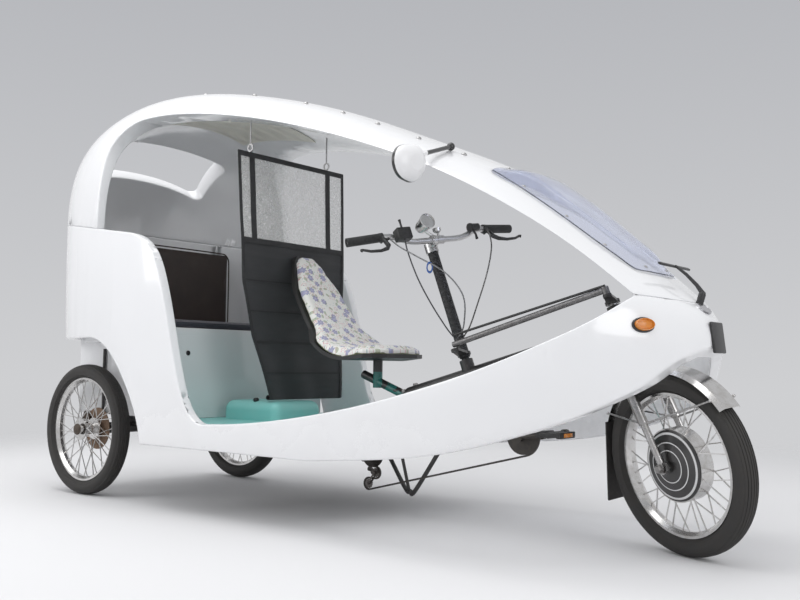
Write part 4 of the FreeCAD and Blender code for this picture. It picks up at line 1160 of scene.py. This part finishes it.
def collar(outer, inner, half, lip, steps, edge=0.001):
    """A short sleeve, or a disc when inner is 0, with its outer edges broken."""
    return turned([(outer - lip, -half), (outer, edge - half), (outer, half - edge), (outer - lip, half),
                   (inner, half), (inner, -half)], steps)


lever_line = ((0.0, 0.217), (0.030, 0.219), (0.040, 0.232), (0.046, 0.262), (0.045, 0.300), (0.038, 0.326),
              (0.040, 0.332))
lever_radii = (0.0075, 0.0085, 0.0075, 0.0056, 0.0050, 0.0046, 0.0062)
controls = []
for side in (-1, 1):
    bar_run = bar_way(-0.025, side * 0.165, 0.0).normalized()
    clamp = facing(bar_point(-0.0066, side * 0.2170, 0.0300), bar_run)
    controls.append(put(collar(0.0170, 0.0112, 0.007, 0.0008, 32), clamp))
    line = [bar_point(ahead + 0.004, side * aside, 0.026 - 1.5 * ahead) for ahead, aside in lever_line]
    controls.append(tapered_bar(line, lever_radii, 16))
    cable_stop = [bar_point(0.026, side * 0.216, 0.006), bar_point(0.028, side * 0.204, 0.010)]
    controls.append(tapered_bar(cable_stop, (0.0052, 0.0044), 16))
    pinch = facing(bar_point(-0.0066, side * 0.2170, 0.0145), bar_way(1, 0, 0))
    controls.append(put(collar(0.0042, 0.0, 0.009, 0.0006, 16), pinch))
pod = turned([(0.0, -0.020), (0.0110, -0.020), (0.0138, -0.017), (0.0142, 0.010), (0.0160, 0.012),
              (0.0168, 0.020), (0.0150, 0.024), (0.0, 0.024)], 40)
controls.append(put(pod, facing(bar_point(0.018, 0.160, 0.030), bar_way(0, -1, 0))))
thumb = [bar_point(0.020, 0.150, 0.020), bar_point(0.026, 0.152, -0.002), bar_point(0.014, 0.160, -0.014)]
controls.append(tapered_bar(thumb, (0.0046, 0.0040, 0.0056), 14))
box_turn = parked @ Matrix((bar_ahead, (0.0, 1.0, 0.0), bar_up)).transposed().to_4x4()
case = block((-0.020, -0.028, -0.022), (0.020, 0.028, 0.022), 0.005, 3)
controls.append(put(case, Matrix.Translation(bar_point(0.032, -0.150, 0.018)) @ box_turn))
key = block((-0.010, -0.016, 0.0), (0.010, 0.016, 0.004), 0.0015, 2)
controls.append(put(key, Matrix.Translation(bar_point(0.032, -0.150, 0.0385)) @ box_turn))
stalk = [bar_point(0.034, -0.148, 0.034), bar_point(0.032, -0.147, 0.062), bar_point(0.030, -0.146, 0.076)]
controls.append(tapered_bar(stalk, (0.0042, 0.0036, 0.0052), 14))
finish_piece(joined(controls), "bar_controls", control_black, "column")

lamp_chrome = worn("lamp_chrome", 0.012, 5.0, (0.80, 0.80, 0.81), (0.52, 0.51, 0.49), rough=(0.08, 0.2),
                   Metallic=1.0)
clip = put(collar(0.0178, 0.0162, 0.007, 0.0008, 32), facing(bar_point(0.0, -0.012, 0.0), bar_way(0, 1, 0)))
neck = [bar_point(0.0, -0.012, 0.0160), bar_point(0.0, -0.030, 0.030), bar_point(0.0, -0.037, 0.042)]
drum = turned([(0.0, -0.032), (0.014, -0.030), (0.0230, -0.022), (0.0258, -0.010), (0.0262, 0.026),
               (0.0290, 0.028), (0.0296, 0.036), (0.0275, 0.038), (0.0262, 0.033), (0.0, 0.035)], 48)
bell = turned([(0.0, -0.010), (0.0080, -0.009), (0.0150, -0.002), (0.0158, 0.006), (0.0160, 0.009),
               (0.0140, 0.009), (0.0130, 0.0), (0.0, 0.001)], 40)
stem = [bar_point(0.0, 0.012, 0.0102), bar_point(0.0, 0.012, 0.034)]
lamp_parts = [clip, tapered_bar(neck, (0.0055, 0.0050, 0.0065), 16),
              put(drum, facing(bar_point(0.0, -0.037, 0.062), bar_way(1, 0, 0))),
              put(bell, facing(bar_point(0.0, 0.012, 0.036), bar_way(0.2, 0, 1))),
              tapered_bar(stem, (0.0050, 0.0040), 16)]
finish_piece(joined(lamp_parts), "bar_lamp", lamp_chrome, "column")


# Cables. Two brake cables and the control box's cable in ribbed or braided sleeves. They swing out
# from the bar and come back against the foot of the column. A blue ring hangs on the right one.

def sleeve_finish(name, bright, dark, pitch):
    """Ribbed or braided outer sleeve of a cable."""
    sleeve = Finish(name, Metallic=0.5)
    braid = sleeve.node("TexVoronoi", Vector=sleeve.place(), Scale=1.0 / pitch)
    sleeve.feed("Base Color", sleeve.blend(braid, bright, dark))
    sleeve.feed("Roughness", 0.35 + braid * 0.3)
    sleeve.relief(braid, 0.0008, 0.7)
    return sleeve


silver_sleeve = sleeve_finish("silver_sleeve", (0.42, 0.42, 0.43), (0.12, 0.12, 0.12), 0.0035)
braided_sleeve = sleeve_finish("braided_sleeve", (0.32, 0.31, 0.30), (0.02, 0.02, 0.02), 0.0050)
grey_sleeve = sleeve_finish("grey_sleeve", (0.16, 0.16, 0.17), (0.06, 0.06, 0.06), 0.0030)
cables = (
    ("brake_cable_right", silver_sleeve,
     ((0.028, -0.206, 0.010), (0.046, -0.184, -0.034), (0.076, -0.147, -0.088), (0.112, -0.080, -0.172),
      (0.108, -0.036, -0.262), (0.030, -0.016, -0.337), (-0.0336, -0.0106, -0.362))),
    ("brake_cable_left", braided_sleeve,
     ((0.028, 0.206, 0.010), (0.078, 0.172, -0.042), (0.135, 0.117, -0.114), (0.142, 0.062, -0.204),
      (0.078, 0.027, -0.292), (0.010, 0.018, -0.342), (-0.0336, 0.0106, -0.362))),
    ("control_cable", grey_sleeve,
     ((0.036, -0.150, -0.003), (0.032, -0.151, -0.052), (0.012, -0.131, -0.144), (-0.014, -0.093, -0.234),
      (-0.040, -0.047, -0.317), (-0.052, -0.0216, -0.352))),
)
for name, sleeve, stops in cables:
    line = smooth_line([bar_point(*stop) for stop in stops])
    finish_piece(tapered_bar(line, [0.0026] * len(line), 10), name, sleeve, "column")

blue_tag = worn("blue_plastic", 0.006, 4.0, (0.03, 0.10, 0.42), (0.05, 0.13, 0.34), Roughness=0.35)
tag = turned([(0.0105, -0.0020), (0.0120, 0.0), (0.0105, 0.0020), (0.0080, 0.0020), (0.0070, 0.0),
              (0.0080, -0.0020)], 36)
tag.data.transform(Matrix.Diagonal((1.0, 1.0, 1.7, 1.0)))
tag_spot = bar_point(0.094, -0.118, -0.126) - Vector((0.0, 0.0, 0.013))
finish_piece(put(tag, facing(tag_spot, (0.8, -0.6, 0.0))), "cable_ring", blue_tag, "column")


# Low guards and struts. A bent black tube hoop runs under the pedals and up to the column's foot,
# an upright stands on each side of the rear axle, and a thin damper rod lies above the drag link.

hoop = smooth_line([(0.155, 0.048, 0.208), (0.262, 0.012, 0.103), (0.290, 0.004, 0.098), (0.319, 0.0, 0.106),
                    (0.470, 0.0, 0.318), (0.628, 0.0, 0.545)], 8)
branch = [(0.283, 0.005, 0.102), (0.257, 0.0, 0.208), (0.226, 0.0, 0.345)]
guards = [tapered_bar(hoop, [0.008] * len(hoop), 16), tapered_bar(branch, [0.006] * 3, 14)]
finish_piece(joined(guards), "pedal_guard", black_enamel, "cabin")
uprights = []
for side in (-1, 1):
    foot = Vector((-1.1188, side * 0.356, 0.273))
    uprights.append(tapered_bar([foot, foot + Vector((0, 0, 0.34))], [0.007, 0.007], 16))
    uprights.append(put(collar(0.022, 0.0, 0.012, 0.002, 28, edge=0.002), facing(foot, (0, 1, 0))))
finish_piece(joined(uprights), "axle_uprights", black_enamel, "cabin")

link_low, link_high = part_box("drag_link")
link_rise = bar_up * 0.022
link_back = Vector((link_low.x + 0.012, (link_low.y + link_high.y) / 2, link_low.z + 0.022))
link_front = Vector((link_high.x - 0.010, (link_low.y + link_high.y) / 2, link_high.z - 0.020))
finish_piece(tapered_bar([link_back + link_rise, link_front + link_rise], [0.0042, 0.0042], 14),
             "damper_rod", control_black, "drag_link")


# Brake calipers. Cast housings in worn black that straddle the rear discs, each on a plate that is
# bolted to the axle tube, with the piston's round cap inboard.

cast_black = worn("cast_black", 0.008, 7.0, (0.022, 0.021, 0.020), (0.12, 0.085, 0.06), rough=(0.45, 0.3),
                  relief=(0.0012, 0.6), Metallic=0.3)
for side, sign in (("right", -1), ("left", 1)):
    low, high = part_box(f"brake_disc_{side}")
    disc = (low + high) / 2
    slot = (high.y - low.y) / 2 + 0.002
    way = Matrix.Translation(disc) @ Matrix.Rotation(math.radians(-150), 4, "Y")
    plate = -sign * (slot + 0.020)
    housing = [block((0.060, slot, -0.024), (0.106, slot + 0.012, 0.024), 0.004, 3),
               block((0.060, -slot - 0.012, -0.024), (0.106, -slot, 0.024), 0.004, 3),
               block((0.091, -slot - 0.010, -0.022), (0.106, slot + 0.010, 0.022), 0.004, 3),
               block((0.036, plate - 0.003, -0.012), (0.090, plate + 0.003, 0.012), 0.002, 2)]
    piston = turned([(0.0, 0.0), (0.016, 0.0), (0.016, 0.016), (0.013, 0.020), (0.0, 0.020)], 28)
    housing.append(put(piston, facing((0.080, -sign * (slot + 0.010), 0.0), (0, -sign, 0))))
    for reach in (-0.016, 0.016):
        housing.append(hex_bolt(facing((0.080, -sign * (slot + 0.011), reach), (0, -sign, 0)), 0.010, 0.008))
    finish_piece(put(joined(housing), way), f"brake_caliper_{side}", cast_black, "cabin")


# Chain cage. Two dull steel plates with a small toothed pulley at each end, hung under the gears.

cage_steel = worn("cage_steel", 0.008, 6.0, (0.26, 0.25, 0.24), (0.06, 0.05, 0.045), rough=(0.3, 0.35),
                  Metallic=0.9)
cage = []
pulley_guide = Vector((0.1712, -0.052, 0.160))
pulley_tension = Vector((0.1392, -0.052, 0.118))
slope = math.atan2(pulley_guide.z - pulley_tension.z, pulley_tension.x - pulley_guide.x)
for y in (-0.0605, -0.0440):
    plate = block((-0.0015, -0.001, -0.004), (0.054, 0.001, 0.004), 0.0008, 1)
    put(plate, Matrix.Translation((pulley_guide.x, y, pulley_guide.z)) @ Matrix.Rotation(slope, 4, "Y"))
    cage.append(plate)
for spot in (pulley_guide, pulley_tension):
    wheel = turned([(0.0, -0.002), (0.0165, -0.002), (0.0165, 0.002), (0.0, 0.002)], 24)
    for vertex in wheel.data.vertices:
        if math.hypot(vertex.co.x, vertex.co.z) > 0.01:
            tooth = round(math.atan2(vertex.co.z, vertex.co.x) / (2 * math.pi / 24))
            height = 1.08 if tooth % 2 else 0.92
            vertex.co.x *= height
            vertex.co.z *= height
    cage.append(put(wheel, Matrix.Translation(spot)))
    pin = turned([(0.0, -0.011), (0.0042, -0.011), (0.0042, 0.010), (0.0, 0.010)], 16)
    cage.append(put(pin, Matrix.Translation(spot)))
cage.append(tapered_bar([(0.171, -0.066, 0.160), (0.171, -0.074, 0.172), (0.171, -0.088, 0.178)],
                        [0.0085, 0.0075, 0.0095], 18))
finish_piece(joined(cage), "chain_cage", cage_steel, "cabin")


# Pedals. Moulded black cages: two ribbed rails joined by three bars round the axle's tube, with
# an amber reflector in each rail.

for side in ("right", "left"):
    low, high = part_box(f"pedal_{side}")
    rail = 0.016
    middle = (low + high) / 2
    cage = []
    for start in (low.x, high.x - rail):
        cage.append(block((start, low.y, low.z), (start + rail, high.y, high.z), 0.003))
    for start in (low.y, middle.y - 0.006, high.y - 0.012):
        cage.append(block((low.x + rail * 0.8, start, low.z + 0.003),
                          (high.x - rail * 0.8, start + 0.012, high.z - 0.003), 0.002))
    tube = turned([(0.0105, -0.047), (0.0105, 0.047), (0.0065, 0.047), (0.0065, -0.047)], 24)
    cage.append(put(tube, Matrix.Translation(middle)))
    for start in (low.x - 0.0012, high.x - 0.0008):
        for step in range(7):
            rib = low.y + 0.012 + step * (high.y - low.y - 0.024) / 6
            cage.append(block((start, rib - 0.002, high.z - 0.004), (start + 0.002, rib + 0.002, high.z)))
    piece = finish_piece(joined(cage), f"pedal_cage_{side}", pedal_plastic, f"pedal_{side}")
    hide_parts(f"pedal_{side}")
    for start, tag in ((low.x - 0.0015, "back"), (high.x - 0.0005, "front")):
        reflector = block((start, middle.y - 0.026, middle.z - 0.006),
                          (start + 0.002, middle.y + 0.026, middle.z + 0.006), 0.0006)
        finish_piece(reflector, f"pedal_reflector_{side}_{tag}", amber_lens, f"pedal_{side}")


# Hub ends. A dark cap over each rear hub's outer bearing and a hexagon nut with a washer on each
# end of the front axle.

for side, sign in (("right", -1), ("left", 1)):
    cap = turned([(0.0105, 0.0445), (0.0230, 0.0445), (0.0235, 0.0475), (0.0215, 0.0515), (0.0150, 0.0555),
                  (0.0, 0.0565), (0.0, 0.0490), (0.0105, 0.0490)], 32)
    cap.data.transform(Matrix.Diagonal((1.0, sign, 1.0, 1.0)))
    if sign < 0:
        cap.data.flip_normals()
    finish_piece(put(cap, rear_places[side]), f"hub_cap_{side}", cast_black, f"rear_wheel_{side}")
axle_nuts = []
for sign in (-1, 1):
    axle_end = front_place @ facing((0.0, sign * 0.0782, 0.0), (0.0, sign, 0.0))
    axle_nuts.append(hex_bolt(axle_end, 0.024, 0.013))
finish_piece(joined(axle_nuts), "front_axle_nuts", dull_zinc, "fork")


# Small fittings in the cabin. A black finger hole in the bench front, a knob on the drive hump and
# a red pull strap at the curtain's lower corner.

hole_ring = put(oval_plate(0.020, 0.020, 0.003), facing((-0.6190, -0.3033, 0.596), (1, 0, 0)))
knob = put(turned([(0.011, 0.0), (0.012, 0.006), (0.009, 0.012), (0.0, 0.014), (0.0, 0.0)], 24),
           facing((-0.387, -0.1400, 0.4066), (0.0, -0.2, 1.0), (1, 0, 0)))
finish_piece(joined([hole_ring, knob]), "cabin_knobs", nose_black, "cabin")

red_webbing = worn("red_webbing", 0.01, 4.0, (0.42, 0.02, 0.02), (0.24, 0.015, 0.02), Roughness=0.7)
red_weave = red_webbing.node("TexWave", {"bands_direction": "Y"}, Vector=red_webbing.place(), Scale=110.0)
red_webbing.relief(red_weave, 0.0005, 0.5)
strap_low = curtain_base + 0.012
pull_line = [(curtain_point(0.03, strap_low + 0.045 * step / 8, -0.006), (0, 1, 0)) for step in range(9)]
band("curtain_pull_strap", pull_line, 0.016, red_webbing)
